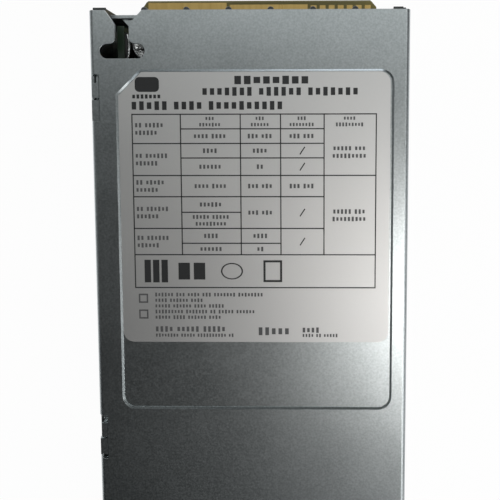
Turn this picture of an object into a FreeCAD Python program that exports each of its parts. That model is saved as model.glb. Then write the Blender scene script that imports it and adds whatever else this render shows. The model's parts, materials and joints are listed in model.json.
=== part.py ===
import FreeCAD, Part
import math
import os
import re

import Sketcher
from FreeCAD import Placement, Rotation, Vector

# Hot-swap server power supply, 1U redundant form.
# +Z is up and +Y points at the card-edge end. The origin is the centre of the case's underside.

# Driving sizes in millimetres and degrees
SIZES = {
    # folded steel case
    "case_width": 73.5,
    "case_length": 185.0,
    "case_height": 39.0,
    "sheet": 0.8,
    "bend_radius": 1.2,
    "fit_gap": 0.1,
    "cover_setback": 0.6,
    "cover_skirt": 11.0,
    "seam_gap": 0.5,
    "rear_tab_width": 2.75,
    "rear_lip_height": 3.4,
    # key slot in the cover and the wall behind it
    "key_inset": 7.6,
    "key_mouth_left": 3.9,
    "key_mouth_right": 4.7,
    "key_mouth_depth": 3.2,
    "key_channel_width": 3.2,
    "key_arm_start": 7.65,
    "key_arm_height": 3.3,
    "key_arm_span": 10.3,
    "key_corner": 1.4,
    "wall_notch_depth": 5.0,
    # pressed recess and its label
    "recess_left": 5.85,
    "recess_right": 3.6,
    "recess_setback": 13.5,
    "recess_length": 80.3,
    "recess_depth": 0.5,
    "recess_slope": 0.4,
    "recess_corner": 3.1,
    "recess_cut_corner": 5.4,
    "label_length": 63.6,
    "label_thickness": 0.15,
    "label_margin": 0.1,
    "label_side_margin": 0.4,
    # hooks of the tray in slots of the cover
    "slot_width": 1.2,
    "slot_length": 10.6,
    "slot_setback": 14.6,
    "slot_pitch": 80.9,
    "hook_setback": 1.85,
    "hook_length": 3.5,
    "hook_gap": 0.4,
    "hook_end_gap": 1.0,
    "hook_sink": 0.2,
    # countersunk screws of the cover
    "cover_screw_drop": 5.5,
    "cover_screw_radius": 1.5,
    "cover_screw_length": 3.2,
    # rear panel
    "rib_pitch": 9.7,
    "rib_radius": 0.85,
    "rib_drop": 2.0,
    "vent_width": 6.0,
    "vent_bar": 2.2,
    "vent_margin": 3.0,
    "board_slot_gap": 0.4,
    # front panel and fan
    "panel_flange": 10.0,
    "fan_fit": 0.3,
    "fan_depth": 28.0,
    "fan_wall": 1.0,
    "fan_hole_inset": 3.4,
    "fan_screw_radius": 1.3,
    "fan_screw_head": 2.3,
    "fan_screw_length": 6.0,
    "grille_hole": 2.9,
    "grille_web": 1.0,
    "motor_base": 2.0,
    "strut_width": 1.6,
    "hub_radius": 9.0,
    "hub_wall": 1.8,
    "hub_top": 4.0,
    "hub_length": 21.0,
    "hub_setback": 3.0,
    "blade_chord": 14.0,
    "blade_thickness": 0.9,
    "blade_camber": 20.0,
    "blade_angle": 45.0,
    "tip_gap": 0.6,
    "shaft_radius": 1.0,
    "shaft_fit": 0.05,
    "bearing_wall": 2.0,
    "air_gap": 0.5,
    # mains inlet
    "inlet_height": 19.6,
    "inlet_depth": 21.0,
    "inlet_lip": 1.6,
    "inlet_wall": 1.5,
    "inlet_mouth_height": 16.5,
    "inlet_mouth_depth": 16.5,
    "inlet_mouth_cut": 4.5,
    "inlet_latch_gap": 3.85,
    "pin_width": 2.0,
    "pin_height": 4.0,
    "pin_pitch": 7.0,
    "pin_offset": 4.0,
    "pin_sink": 2.0,
    "pin_tail": 3.0,
    "link_thickness": 1.0,
    "link_foot": 1.5,
    # handle
    "handle_gap": 1.7,
    "handle_bar": 4.6,
    "handle_reach": 30.0,
    "handle_margin": 3.4,
    "handle_corner": 8.0,
    "handle_edge": 0.8,
    "lug_width": 3.0,
    "lug_barb": 0.5,
    "lug_length": 1.4,
    # retaining latch on the right wall
    "latch_height": 12.0,
    "latch_drop": 1.6,
    "latch_arm": 1.2,
    "latch_wall_gap": 0.15,
    "latch_pin_setback": 40.5,
    "latch_pin_radius": 1.0,
    "latch_pin_inset": 2.05,
    "latch_knuckle": 1.6,
    "latch_tail": 7.5,
    "tooth_setback": 4.5,
    "tooth_flat": 1.2,
    "tooth_length": 5.5,
    "tooth_reach": 1.6,
    "tooth_window_gap": 1.0,
    "grip_reach": 10.0,
    "grip_thickness": 2.4,
    "grip_margin": 1.0,
    "latch_travel_room": 2.4,
    "ear_gap": 0.3,
    "spring_thickness": 0.2,
    # status light
    "light_width": 3.0,
    "light_reach": 0.6,
    "light_length": 6.0,
    "light_drop": 4.4,
    # main board and its contacts
    "standoff_height": 4.2,
    "post_width": 6.0,
    "post_foot": 4.0,
    "tongue_width": 3.0,
    "tongue_rise": 1.2,
    "board_thickness": 1.6,
    "board_side_gap": 2.15,
    "board_gap": 1.1,
    "card_reach": 8.5,
    "card_bevel": 0.5,
    "card_corner": 1.2,
    "contact_pitch": 2.54,
    "contact_width": 1.65,
    "contact_length": 9.0,
    "contact_setback": 0.9,
    "contact_thickness": 0.05,
    "insulation": 0.3,
    "insulation_margin": 1.0,
    # parts on the board
    "edge_margin": 1.5,
    "part_gap": 1.5,
    "seat_gap": 0.1,
    "bulk_top_gap": 2.0,
    "bulk_length": 38.0,
    "fuse_width": 8.5,
    "fuse_length": 4.3,
    "fuse_height": 8.0,
    "filter_cap_width": 8.0,
    "filter_cap_length": 18.0,
    "filter_cap_height": 15.0,
    "screw_room": 5.0,
    "filter_choke_length": 19.0,
    "filter_choke_height": 17.0,
    "filter_choke_leg": 3.0,
    "relay_width": 8.0,
    "relay_length": 20.0,
    "relay_height": 16.0,
    "boost_choke_length": 26.0,
    "boost_choke_height": 26.0,
    "boost_choke_leg": 4.5,
    "winding_margin": 0.4,
    "winding_build": 3.0,
    "sink_thickness": 1.6,
    "sink_top_gap": 4.6,
    "sink_length": 38.0,
    "device_width": 16.0,
    "device_thickness": 5.0,
    "device_height": 20.0,
    "device_lift": 2.0,
    "transformer_width": 26.0,
    "transformer_length": 24.0,
    "transformer_height": 26.0,
    "transformer_leg": 4.0,
    "resonant_width": 16.0,
    "resonant_length": 20.0,
    "resonant_height": 22.0,
    "resonant_leg": 3.5,
    "standby_width": 14.0,
    "standby_length": 12.0,
    "standby_height": 16.0,
    "standby_leg": 2.0,
    "rectifier_length": 10.0,
    "rectifier_height": 20.0,
    "rectifier_fin": 1.2,
    "rectifier_fin_pitch": 4.0,
    "output_cap_radius": 4.5,
    "output_cap_gap": 0.5,
    "output_cap_top_gap": 3.0,
    "output_cap_pitch": 9.6,
    "busbar_width": 8.0,
    "busbar_thickness": 2.0,
    "busbar_rise": 12.0,
    "control_thickness": 1.6,
    "control_spacing": 4.1,
    "control_top_gap": 3.2,
    "control_gap": 1.9,
    "chip_thickness": 1.4,
    "chip_size": 6.0,
}

# Counts
RIB_COUNT = 6
VENT_ROWS = 2
KEY_VENT = (0, VENT_ROWS - 1)
BLADE_COUNT = 5
STRUT_COUNT = 4
MOTOR_SIDES = 8
RIB_SIDES = 8
WIDE_CONTACTS = ((1, 9), (10, 18))
NARROW_CONTACTS = range(19, 26)
MIDDLE_CONTACT = 13
FAN_FIXINGS = ((-1, 1), (1, -1))
GRILLE_PITCH = "(grille_hole * cos(30) * 2 + grille_web)"
PIN_PLACES = ((-1, -1), (0, 1), (1, -1))
OUTPUT_CAP_COLUMNS = 2
CHIP_COLUMNS = 3
CHIP_LEVELS = (0.3, 0.7)
DEVICE_PLACES = (0.25, 0.75)
GRILLE_TURN = 30

# Places worked out from the driving sizes
PLACES = {
    "half_width": "case_width / 2",
    "half_length": "case_length / 2",
    "cover_under": "case_height - sheet",
    "cover_rear": "half_length - cover_setback",
    "skirt_edge": "case_height - cover_skirt",
    "joggle_step": "sheet + fit_gap",
    "joggle_top": "skirt_edge - seam_gap",
    "joggle_base": "joggle_top - joggle_step",
    "joggle_shift": "sheet * tan(22.5)",
    "wall_out": "half_width - joggle_step",
    "wall_in": "wall_out - sheet",
    "lower_in": "half_width - sheet",
    "tray_top": "cover_under - fit_gap - (bend_radius - sheet)",
    "tab_inner": "half_length - sheet",
    "front_face": "-half_length",
    "front_inner": "-half_length + sheet",
    # cover
    "key_x": "-half_width + key_inset",
    "key_arm_top": "cover_rear - key_arm_start",
    "key_mouth_end": "cover_rear - key_mouth_depth",
    "recess_low_x": "-half_width + recess_left",
    "recess_high_x": "half_width - recess_right",
    "recess_high_y": "cover_rear - recess_setback",
    "recess_low_y": "recess_high_y - recess_length",
    "recess_floor": "case_height - recess_depth",
    "slot_edge": "-half_width + sheet + fit_gap / 2",
    "slot_end": "cover_rear - slot_setback",
    "cover_screw_z": "case_height - cover_screw_drop",
    # fan
    "fan_size": "cover_under - 2 * sheet - 2 * fan_fit",
    "fan_half": "fan_size / 2",
    "fan_x": "-wall_in + fan_fit / 2 + fan_half",
    "fan_z": "2 * sheet + fan_fit + fan_half",
    "fan_front": "front_inner",
    "fan_rear": "fan_front + fan_depth",
    "bore_radius": "fan_half - fan_wall",
    "blade_half": "(blade_chord * sin(blade_angle) + blade_thickness * cos(blade_angle)) / 2",
    "blade_tip": "sqrt((bore_radius - tip_gap) ^ 2 - blade_half ^ 2)",
    "hub_front": "fan_front + hub_setback",
    "hub_rear": "hub_front + hub_length",
    "cup_radius": "hub_radius - hub_wall",
    "base_face": "fan_rear - motor_base",
    "bearing_radius": "shaft_radius + bearing_wall",
    "bearing_end": "hub_front + hub_top + air_gap",
    "shaft_end": "fan_rear - motor_base / 2",
    "stator_radius": "cup_radius - 2 * air_gap",
    # inlet
    "inlet_right": "lower_in - inlet_latch_gap",
    "inlet_width": "inlet_right - handle_right",
    "inlet_x": "inlet_right - inlet_width / 2",
    "inlet_z": "fan_z",
    "inlet_rear": "front_face + inlet_depth",
    "pin_row": "inlet_z",
    # handle and light
    "light_z": "case_height - light_drop",
    "handle_x": "fan_x + fan_half + handle_gap",
    "handle_right": "handle_x + handle_bar / 2",
    "handle_low": "handle_margin",
    "handle_high": "case_height - handle_margin",
    "handle_end": "front_face - handle_reach",
    # latch
    "latch_out": "lower_in - latch_wall_gap",
    "latch_in": "latch_out - latch_arm",
    "latch_high": "joggle_base - latch_drop",
    "latch_low": "latch_high - latch_height",
    "latch_pin_x": "lower_in - latch_pin_inset",
    "latch_pin_y": "front_face + latch_pin_setback",
    "tooth_front": "front_face + tooth_setback",
    "tooth_rear": "tooth_front + tooth_length",
    "tooth_tip": "half_width + tooth_reach",
    "grip_end": "front_face - grip_reach",
    "ear_low": "latch_low - ear_gap",
    "ear_high": "latch_high + ear_gap",
    "bracket_face": "lower_in - sheet",
    "bracket_front": "latch_pin_y + latch_knuckle + 2 * ear_gap",
    "bracket_rear": "latch_pin_y + latch_tail + 2",
    # board
    "board_low": "sheet + standoff_height",
    "board_top": "board_low + board_thickness",
    "board_half": "wall_in - board_side_gap",
    "board_front": "fan_rear + board_gap",
    "board_rear": "half_length + card_reach",
    "left_edge": "-board_half + edge_margin",
    "right_edge": "board_half - edge_margin",
    # left lane
    "bulk_radius": "(recess_floor - sheet - bulk_top_gap - board_top - seat_gap) / 2",
    "bulk_x": "left_edge + bulk_radius",
    "bulk_z": "board_top + seat_gap + bulk_radius",
    "bulk_front": "board_front + part_gap",
    "bulk_second": "bulk_front + bulk_length + part_gap",
    "bulk_end": "bulk_second + bulk_length",
    "primary_front": "bulk_end + part_gap",
    "primary_right": "left_edge + sink_thickness + device_thickness",
    # right lane
    "fuse_front": "board_front + 2 * link_foot + link_thickness",
    "fuse_rear": "fuse_front + fuse_length",
    "filter_front": "fuse_rear + screw_room",
    "filter_rear": "filter_front + filter_cap_length",
    "lane_width": "max(filter_cap_width; relay_width; fuse_width)",
    "choke_left": "bulk_x + bulk_radius + part_gap",
    "choke_right": "right_edge - lane_width - part_gap",
    "choke_second": "fuse_front + filter_choke_length + part_gap",
    "relay_front": "filter_rear + part_gap",
    "relay_rear": "relay_front + relay_length",
    "sink_front": "relay_rear + part_gap",
    "sink_rear": "sink_front + sink_length",
    "boost_front": "choke_second + filter_choke_length + part_gap",
    # rear half
    "transformer_front": "max(boost_front + boost_choke_length; bulk_end) + 2 * screw_room",
    "transformer_rear": "transformer_front + transformer_length",
    "transformer_x": "(primary_right + right_edge - resonant_width) / 2",
    "resonant_front": "sink_rear + part_gap",
    "resonant_rear": "resonant_front + resonant_length",
    "standby_front": "resonant_rear + part_gap",
    "standby_rear": "standby_front + standby_length",
    "rectifier_front": "transformer_rear + part_gap",
    "rectifier_rear": "rectifier_front + rectifier_length",
    "output_cap_x": "control_face + chip_thickness + output_cap_gap + output_cap_radius",
    "output_cap_y": "tab_inner - sheet - part_gap - output_cap_radius",
    "busbar_rear": "tab_inner - sheet - part_gap",
    "busbar_front": "standby_rear + screw_room",
    "control_rear": "tab_inner - sheet - control_gap",
    "control_front": "primary_front + sink_length + control_spacing",
    "control_back": "-board_half + edge_margin",
    "control_face": "control_back + control_thickness",
}

DOC = FreeCAD.newDocument("ServerPowerSupply")
NODES = []


def bind(text):
    """Turn the size and place names in an expression into references to their sheet cells."""
    def cell(match):
        word = match.group()
        if word in SIZES:
            return "Dims." + word
        return "Places." + word if word in PLACES else word
    return re.sub(r"[A-Za-z_]\w*", cell, str(text))


def fill_sheet(name, cells):
    """Write a named column of values and give each cell its name as alias."""
    sheet = DOC.addObject("Spreadsheet::Sheet", name)
    for row, (alias, value) in enumerate(cells.items(), start=1):
        sheet.set(f"A{row}", alias)
        sheet.set(f"B{row}", value)
        sheet.setAlias(f"B{row}", alias)
    DOC.recompute()
    return sheet


DIMS = fill_sheet("Dims", {name: str(value) for name, value in SIZES.items()})
fill_sheet("Places", {name: "=" + bind(formula) for name, formula in PLACES.items()})


def val(text):
    """Number that an expression has now."""
    return float(DIMS.evalExpression(bind(text)))


def node(name, solid):
    """Name a finished sub-part."""
    solid.Label = name
    NODES.append(solid)
    return solid


# Part primitives and booleans

TURNS = {
    "x": Rotation(Vector(0, 1, 0), 90),
    "y": Rotation(Vector(1, 0, 0), -90),
    "z": Rotation(),
}


def put(solid, place):
    """Tie an object's position to expressions for x, y and z."""
    for axis, text in zip("xyz", place):
        solid.setExpression(f".Placement.Base.{axis}", bind(text))
    return solid


def box(name, x, y, z):
    """Box between two expressions along each axis."""
    solid = DOC.addObject("Part::Box", name)
    for side, (low, high) in zip(("Length", "Width", "Height"), (x, y, z)):
        solid.setExpression(side, bind(f"({high}) - ({low})"))
    return put(solid, (x[0], y[0], z[0]))


def along(axis, centre, start):
    """Order a centre across an axis and a start along it as x, y and z."""
    place = dict(zip([letter for letter in "xyz" if letter != axis], centre))
    place[axis] = start
    return [place[letter] for letter in "xyz"]


def rod(name, axis, radius, centre, low, high):
    """Cylinder along an axis."""
    solid = DOC.addObject("Part::Cylinder", name)
    solid.Placement = Placement(Vector(), TURNS[axis])
    solid.setExpression("Radius", bind(radius))
    solid.setExpression("Height", bind(f"({high}) - ({low})"))
    return put(solid, along(axis, centre, low))


def prism(name, sides, radius, centre, low, high, turn=0):
    """Regular prism along Y, turned about its axis."""
    solid = DOC.addObject("Part::Prism", name)
    solid.Polygon = sides
    solid.Placement = Placement(Vector(), TURNS["y"].multiply(Rotation(Vector(0, 0, 1), turn)))
    solid.setExpression("Circumradius", bind(radius))
    solid.setExpression("Height", bind(f"({high}) - ({low})"))
    return put(solid, along("y", centre, low))


def taper(name, axis, low_radius, high_radius, centre, low, high):
    """Cone frustum along an axis."""
    solid = DOC.addObject("Part::Cone", name)
    solid.Placement = Placement(Vector(), TURNS[axis])
    solid.setExpression("Radius1", bind(low_radius))
    solid.setExpression("Radius2", bind(high_radius))
    solid.setExpression("Height", bind(f"({high}) - ({low})"))
    return put(solid, along(axis, centre, low))


def join(name, *solids):
    """Fuse solids into one."""
    fused = DOC.addObject("Part::MultiFuse", name)
    fused.Shapes = list(solids)
    fused.Refine = True
    return fused


def group(name, *solids):
    """Keep solids apart in one object."""
    compound = DOC.addObject("Part::Compound", name)
    compound.Links = list(solids)
    return compound


def cut(name, base, *tools):
    """Take tools away from a base."""
    result = DOC.addObject("Part::Cut", name)
    result.Base = base
    result.Tool = tools[0] if len(tools) == 1 else group(name + "Tools", *tools)
    return result


# Sketches and features of bodies

def new_body(name, place=("0", "0", "0")):
    """Body whose origin is tied to expressions."""
    return put(DOC.addObject("PartDesign::Body", name), place)


def origin(body, role):
    """Plane or axis of a body's own origin."""
    return next(part for part in body.Origin.OriginFeatures if part.Role == role)


def sign(number):
    """-1, 0 or 1."""
    return 0 if abs(number) < 1e-6 else int(math.copysign(1, number))


def toward(corner, neighbour, radius):
    """Point at a radius from a corner, on its straight side towards a neighbour."""
    return tuple(
        f"({here}) + {sign(val(there) - val(here))} * ({radius})"
        for here, there in zip(corner, neighbour)
    )


def outline_points(corners):
    """Split each rounded corner into its tangent points, and list where its arc starts."""
    points, arcs = [], {}
    for index, corner in enumerate(corners):
        if len(corner) == 2:
            points.append(corner)
            continue
        before, after = corners[index - 1][:2], corners[(index + 1) % len(corners)][:2]
        arcs[len(points)] = corner
        points.append(toward(corner[:2], before, corner[2]))
        points.append(toward(corner[:2], after, corner[2]))
    return points, arcs


def spot(point):
    """Vector at a pair of expressions."""
    return Vector(val(point[0]), val(point[1]), 0)


def arc_between(start, end, centre):
    """Arc round a centre, and whether it runs anticlockwise from start to end."""
    first, last = start - centre, end - centre
    forward = first.x * last.y - first.y * last.x > 0
    if not forward:
        first, last = last, first
    circle = Part.Circle(centre, Vector(0, 0, 1), first.Length)
    angles = [math.atan2(side.y, side.x) for side in (first, last)]
    return Part.ArcOfCircle(circle, *angles), forward


def tie(sketch, constraint, text):
    """Add a constraint to a sketch and bind its size."""
    index = sketch.addConstraint(constraint)
    sketch.setExpression(f"Constraints[{index}]", bind(text))


def draw_loop(sketch, points, arcs):
    """Closed loop of lines and arcs. arcs maps an edge to its centre and its radius text."""
    base = sketch.GeometryCount
    ends, edges = [], []
    for index, point in enumerate(points):
        start, end = spot(point), spot(points[(index + 1) % len(points)])
        forward = True
        if index in arcs:
            edge, forward = arc_between(start, end, arcs[index][0])
        else:
            edge = Part.LineSegment(start, end)
        edges.append(edge)
        ends.append((1, 2) if forward else (2, 1))
    sketch.addGeometry(edges)
    count = len(points)
    for index in range(count):
        after = (index + 1) % count
        sketch.addConstraint(
            Sketcher.Constraint("Coincident", base + index, ends[index][1], base + after, ends[after][0]))
    for index, point in enumerate(points):
        here = spot(point)
        tie(sketch, Sketcher.Constraint("DistanceX", base + index, ends[index][0], here.x), point[0])
        tie(sketch, Sketcher.Constraint("DistanceY", base + index, ends[index][0], here.y), point[1])
        if index in arcs:
            tie(sketch, Sketcher.Constraint("Radius", base + index, val(arcs[index][1])), arcs[index][1])


def draw_outline(sketch, corners):
    """Closed outline of corners given as (x, y) or, rounded, as (x, y, radius)."""
    points, rounded = outline_points(corners)
    arcs = {}
    for index, corner in rounded.items():
        centre = spot(points[index]) + spot(points[(index + 1) % len(points)]) - spot(corner)
        arcs[index] = (centre, corner[2])
    draw_loop(sketch, points, arcs)


def draw_circle(sketch, x, y, radius):
    """Circle with its centre and radius bound."""
    index = sketch.addGeometry(Part.Circle(spot((x, y)), Vector(0, 0, 1), val(radius)))
    tie(sketch, Sketcher.Constraint("DistanceX", index, 3, val(x)), x)
    tie(sketch, Sketcher.Constraint("DistanceY", index, 3, val(y)), y)
    tie(sketch, Sketcher.Constraint("Radius", index, val(radius)), radius)


def new_sketch(body, name, role, offset, *outlines):
    """Sketch on a plane of a body's origin, moved along the plane's normal."""
    sketch = body.newObject("Sketcher::SketchObject", name)
    sketch.AttachmentSupport = [(origin(body, role), "")]
    sketch.MapMode = "FlatFace"
    sketch.setExpression(".AttachmentOffset.Base.z", bind(offset))
    for corners in outlines:
        draw_outline(sketch, corners)
    return sketch


def rectangle(x, y, radius=None):
    """Corners of a rectangle between two expressions along each axis."""
    corners = [(x[0], y[0]), (x[1], y[0]), (x[1], y[1]), (x[0], y[1])]
    return [corner + (radius,) for corner in corners] if radius else corners


def feature(body, kind, name, sketch, size, text):
    """Feature of a body made from a sketch, with one bound size."""
    made = body.newObject("PartDesign::" + kind, name)
    made.Profile = sketch
    made.setExpression(size, bind(text))
    return made


def pad(body, name, sketch, length):
    """Pad along the sketch's normal."""
    return feature(body, "Pad", name, sketch, "Length", length)


def middle_pad(body, name, sketch, length):
    """Pad to both sides of the sketch."""
    made = pad(body, name, sketch, length)
    made.SideType = "Symmetric"
    return made


def pocket(body, name, sketch, depth):
    """Pocket against the sketch's normal. It has to take something away."""
    DOC.recompute()
    before = body.Shape.Volume
    made = feature(body, "Pocket", name, sketch, "Length", depth)
    DOC.recompute()
    if body.Shape.Volume >= before:
        raise RuntimeError(f"{name} cuts nothing")
    return made


def spin(body, kind, name, sketch):
    """Full turn of a sketch round its vertical axis."""
    made = body.newObject("PartDesign::" + kind, name)
    made.Profile = sketch
    made.ReferenceAxis = (sketch, ["V_Axis"])
    made.Angle = 360
    return made


def edge_names(shape, test):
    """Names of the edges whose start and end pass a test."""
    return [
        f"Edge{index}" for index, edge in enumerate(shape.Edges, start=1)
        if test(edge.valueAt(edge.FirstParameter), edge.valueAt(edge.LastParameter))
    ]


def ease(body, kind, name, size, text, test):
    """Fillet or chamfer of a body's edges that pass a test."""
    DOC.recompute()
    base = body.Tip
    names = edge_names(base.Shape, test)
    if not names:
        raise RuntimeError(f"{name} finds no edge")
    made = body.newObject("PartDesign::" + kind, name)
    made.Base = (base, names)
    made.setExpression(size, bind(text))
    return made


def runs_along(x, z):
    """Test for the edges along Y at a distance from the middle plane and at a height."""
    def test(start, end):
        level = near(start.z, z) and near(end.z, z)
        return level and near(start.x, end.x) and near(abs(start.x), x)
    return test


def near(number, text):
    """Whether a number is at an expression's value."""
    return abs(number - val(text)) < 1e-4


# Folded case

def base_tray():
    """U-section tray with joggled walls, end tabs, a rear lip, hooks and a latch window."""
    body = new_body("TrayBody")
    half = [
        ("wall_out", "tray_top"),
        ("wall_out", "joggle_top"),
        ("half_width", "joggle_base"),
        ("half_width", "0"),
    ]
    inner = [
        ("lower_in", "sheet"),
        ("lower_in", "joggle_base - joggle_shift"),
        ("wall_in", "joggle_top - joggle_shift"),
        ("wall_in", "tray_top"),
    ]
    right = half[::-1] + inner[::-1]
    left = [(f"-({x})", z) for x, z in inner + half]
    section = new_sketch(body, "TraySection", "XZ_Plane", "-half_length", right + left)
    pad(body, "TrayPad", section, "case_length")
    ease(body, "Fillet", "TrayBendsOuter", "Radius", "bend_radius", runs_along("half_width", "0"))
    ease(body, "Fillet", "TrayBendsInner", "Radius", "bend_radius - sheet", runs_along("lower_in", "sheet"))
    tabs = new_sketch(
        body, "EndTabs", "XZ_Plane", "-half_length",
        rectangle(("wall_out - rear_tab_width", "wall_out"), ("board_top + sheet", "tray_top")),
        rectangle(("-wall_out", "-wall_out + rear_tab_width"), ("board_top + sheet", "tray_top")),
        rectangle(("-board_half", "board_half"), ("0", "rear_lip_height")),
    )
    pad(body, "EndTabsPad", tabs, "sheet")
    hooks = new_sketch(body, "Hooks", "XY_Plane", "tray_top", *[
        rectangle(("-wall_out", "-wall_in"), span_y)
        for end in ("slot_end", "slot_end - slot_pitch")
        for span_y in hook_spans(end)
    ])
    pad(body, "HooksPad", hooks, "case_height - hook_sink - tray_top")
    window = new_sketch(body, "LatchWindow", "YZ_Plane", "half_width", rectangle(
        ("tooth_front - tooth_window_gap", "tooth_rear + tooth_window_gap"),
        ("latch_low - ear_gap", "latch_high + ear_gap"),
    ))
    pocket(body, "LatchWindowPocket", window, "2 * sheet")
    hole = new_sketch(body, "TrayScrewHole", "YZ_Plane", "half_width")
    draw_circle(hole, "0", "cover_screw_z", "cover_screw_radius + fit_gap / 2")
    pocket(body, "TrayScrewPocket", hole, "cover_screw_length")
    node("base_tray", body)


def hook_spans(end):
    """Y spans of the two hooks that stand in a slot, from the slot's rear end."""
    middle = f"{end} - hook_setback - hook_length"
    return [
        (middle, f"{end} - hook_setback"),
        (f"{end} - slot_length + hook_end_gap", f"{middle} - hook_gap"),
    ]


def recess_outline(grow, front):
    """Outline of the pressed recess, moved outwards, from its rear edge to a given front edge."""
    low_x, high_x = f"recess_low_x + recess_slope - ({grow})", f"recess_high_x - recess_slope + ({grow})"
    high_y = f"recess_high_y - recess_slope + ({grow})"
    corner = f"recess_corner - recess_slope + ({grow})"
    cut_corner = "recess_cut_corner"
    return [
        (low_x, front, corner),
        (high_x, front, corner),
        (high_x, high_y, corner),
        (f"{low_x} + {cut_corner}", high_y),
        (low_x, f"{high_y} - {cut_corner}"),
    ]


def key_slot_outline():
    """T-shaped key slot with a flared mouth at the cover's rear end."""
    left, right = "key_x - key_channel_width / 2", "key_x + key_channel_width / 2"
    arm_left, arm_right = "key_x - key_arm_span / 2", "key_x + key_arm_span / 2"
    arm_end = "key_arm_top - key_arm_height"
    arm_radius = "key_arm_height * 0.49"
    return [
        ("key_x - key_mouth_left", "cover_rear + sheet"),
        ("key_x - key_mouth_left", "cover_rear"),
        (left, "key_mouth_end"),
        (left, "key_arm_top", "key_corner"),
        (arm_left, "key_arm_top", arm_radius),
        (arm_left, arm_end, arm_radius),
        (arm_right, arm_end, arm_radius),
        (arm_right, "key_arm_top", arm_radius),
        (right, "key_arm_top", "key_corner"),
        (right, "key_mouth_end"),
        ("key_x + key_mouth_right", "cover_rear"),
        ("key_x + key_mouth_right", "cover_rear + sheet"),
    ]


def top_cover():
    """Cover with side skirts, a pressed label recess, a key slot and two hook slots, one open at the bend."""
    body = new_body("CoverBody")
    inner_x = "half_width - sheet"
    section = new_sketch(body, "CoverSection", "XZ_Plane", "-cover_rear", [
        ("-half_width", "skirt_edge"),
        (f"-({inner_x})", "skirt_edge"),
        (f"-({inner_x})", "cover_under"),
        (inner_x, "cover_under"),
        (inner_x, "skirt_edge"),
        ("half_width", "skirt_edge"),
        ("half_width", "case_height"),
        ("-half_width", "case_height"),
    ])
    pad(body, "CoverPad", section, "cover_rear + half_length")
    ease(body, "Fillet", "CoverBendsOuter", "Radius", "bend_radius", runs_along("half_width", "case_height"))
    bulge = new_sketch(body, "RecessBulge", "XY_Plane", "recess_floor - sheet",
                       recess_outline("recess_slope", "recess_low_y"))
    pad(body, "RecessBulgePad", bulge, "sheet")
    recess = new_sketch(body, "Recess", "XY_Plane", "case_height",
                        recess_outline("0", "recess_low_y + recess_slope"))
    pocket(body, "RecessPocket", recess, "recess_depth")
    ease(body, "Chamfer", "RecessRim", "Size", "recess_slope", on_recess_rim)
    slots = new_sketch(body, "HookSlots", "XY_Plane", "case_height", *[
        rectangle(("slot_edge", "slot_edge + slot_width"), (f"{end} - slot_length", end))
        for end in ("slot_end", "slot_end - slot_pitch")
    ])
    pocket(body, "HookSlotsPocket", slots, "2 * sheet")
    front_end = "slot_end - slot_pitch"
    notch = new_sketch(body, "BendNotch", "XY_Plane", "case_height", rectangle(
        ("-half_width - sheet", "slot_edge + slot_width"),
        (f"{front_end} - hook_setback - hook_length - hook_gap", front_end),
    ))
    pocket(body, "BendNotchPocket", notch, "2 * sheet")
    key = new_sketch(body, "KeySlot", "XY_Plane", "case_height", key_slot_outline())
    pocket(body, "KeySlotPocket", key, "2 * sheet")
    node("top_cover", cut("CoverCut", body, screw_head("CoverSink")))


def on_recess_rim(*ends):
    """Whether an edge is on the upper rim of the recess before its slope is cut."""
    return all(
        near(end.z, "case_height")
        and val("recess_low_x") < end.x < val("recess_high_x")
        and val("recess_low_y") < end.y < val("recess_high_y")
        for end in ends
    )


def screw_head(name):
    """Countersunk head in the cover's right skirt, as a solid or as a tool."""
    return taper(name, "x", "cover_screw_radius", "cover_screw_radius + sheet", ("0", "cover_screw_z"),
                 "half_width - sheet", "half_width")


def cover_screw():
    """Countersunk screw that holds the cover's right skirt to the tray."""
    shank = rod("CoverScrewShank", "x", "cover_screw_radius", ("0", "cover_screw_z"),
                "half_width - cover_screw_length", "half_width - sheet")
    node("cover_screw", join("CoverScrew", screw_head("CoverScrewHead"), shank))


def rating_label():
    """Printed label that lies on the recess floor."""
    body = new_body("LabelBody")
    grow = "-label_margin"
    front = "recess_high_y - recess_slope - label_length"
    outline = recess_outline(grow, front)
    high_x = "recess_high_x - recess_slope - label_side_margin"
    for index in (1, 2):
        outline[index] = (high_x,) + outline[index][1:]
    sketch = new_sketch(body, "LabelOutline", "XY_Plane", "recess_floor", outline)
    pad(body, "LabelPad", sketch, "label_thickness")
    node("rating_label", body)


def rib_places():
    """Expressions for the middles of the rear panel's ribs along X."""
    middle = (RIB_COUNT - 1) / 2
    return [f"rib_pitch * {index - middle}" for index in range(RIB_COUNT)]


def rib_outline(x):
    """Half-round rib on the wall's outer face, drawn with flats."""
    root = "tab_inner - sheet / 2"
    rounded = []
    for index in range(RIB_SIDES + 1):
        turn = 180 / RIB_SIDES * index
        rounded.append((f"{x} + rib_radius * cos({turn})", f"tab_inner + rib_radius * sin({turn})"))
    return rounded + [(f"{x} - rib_radius", root), (f"{x} + rib_radius", root)]


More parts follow.
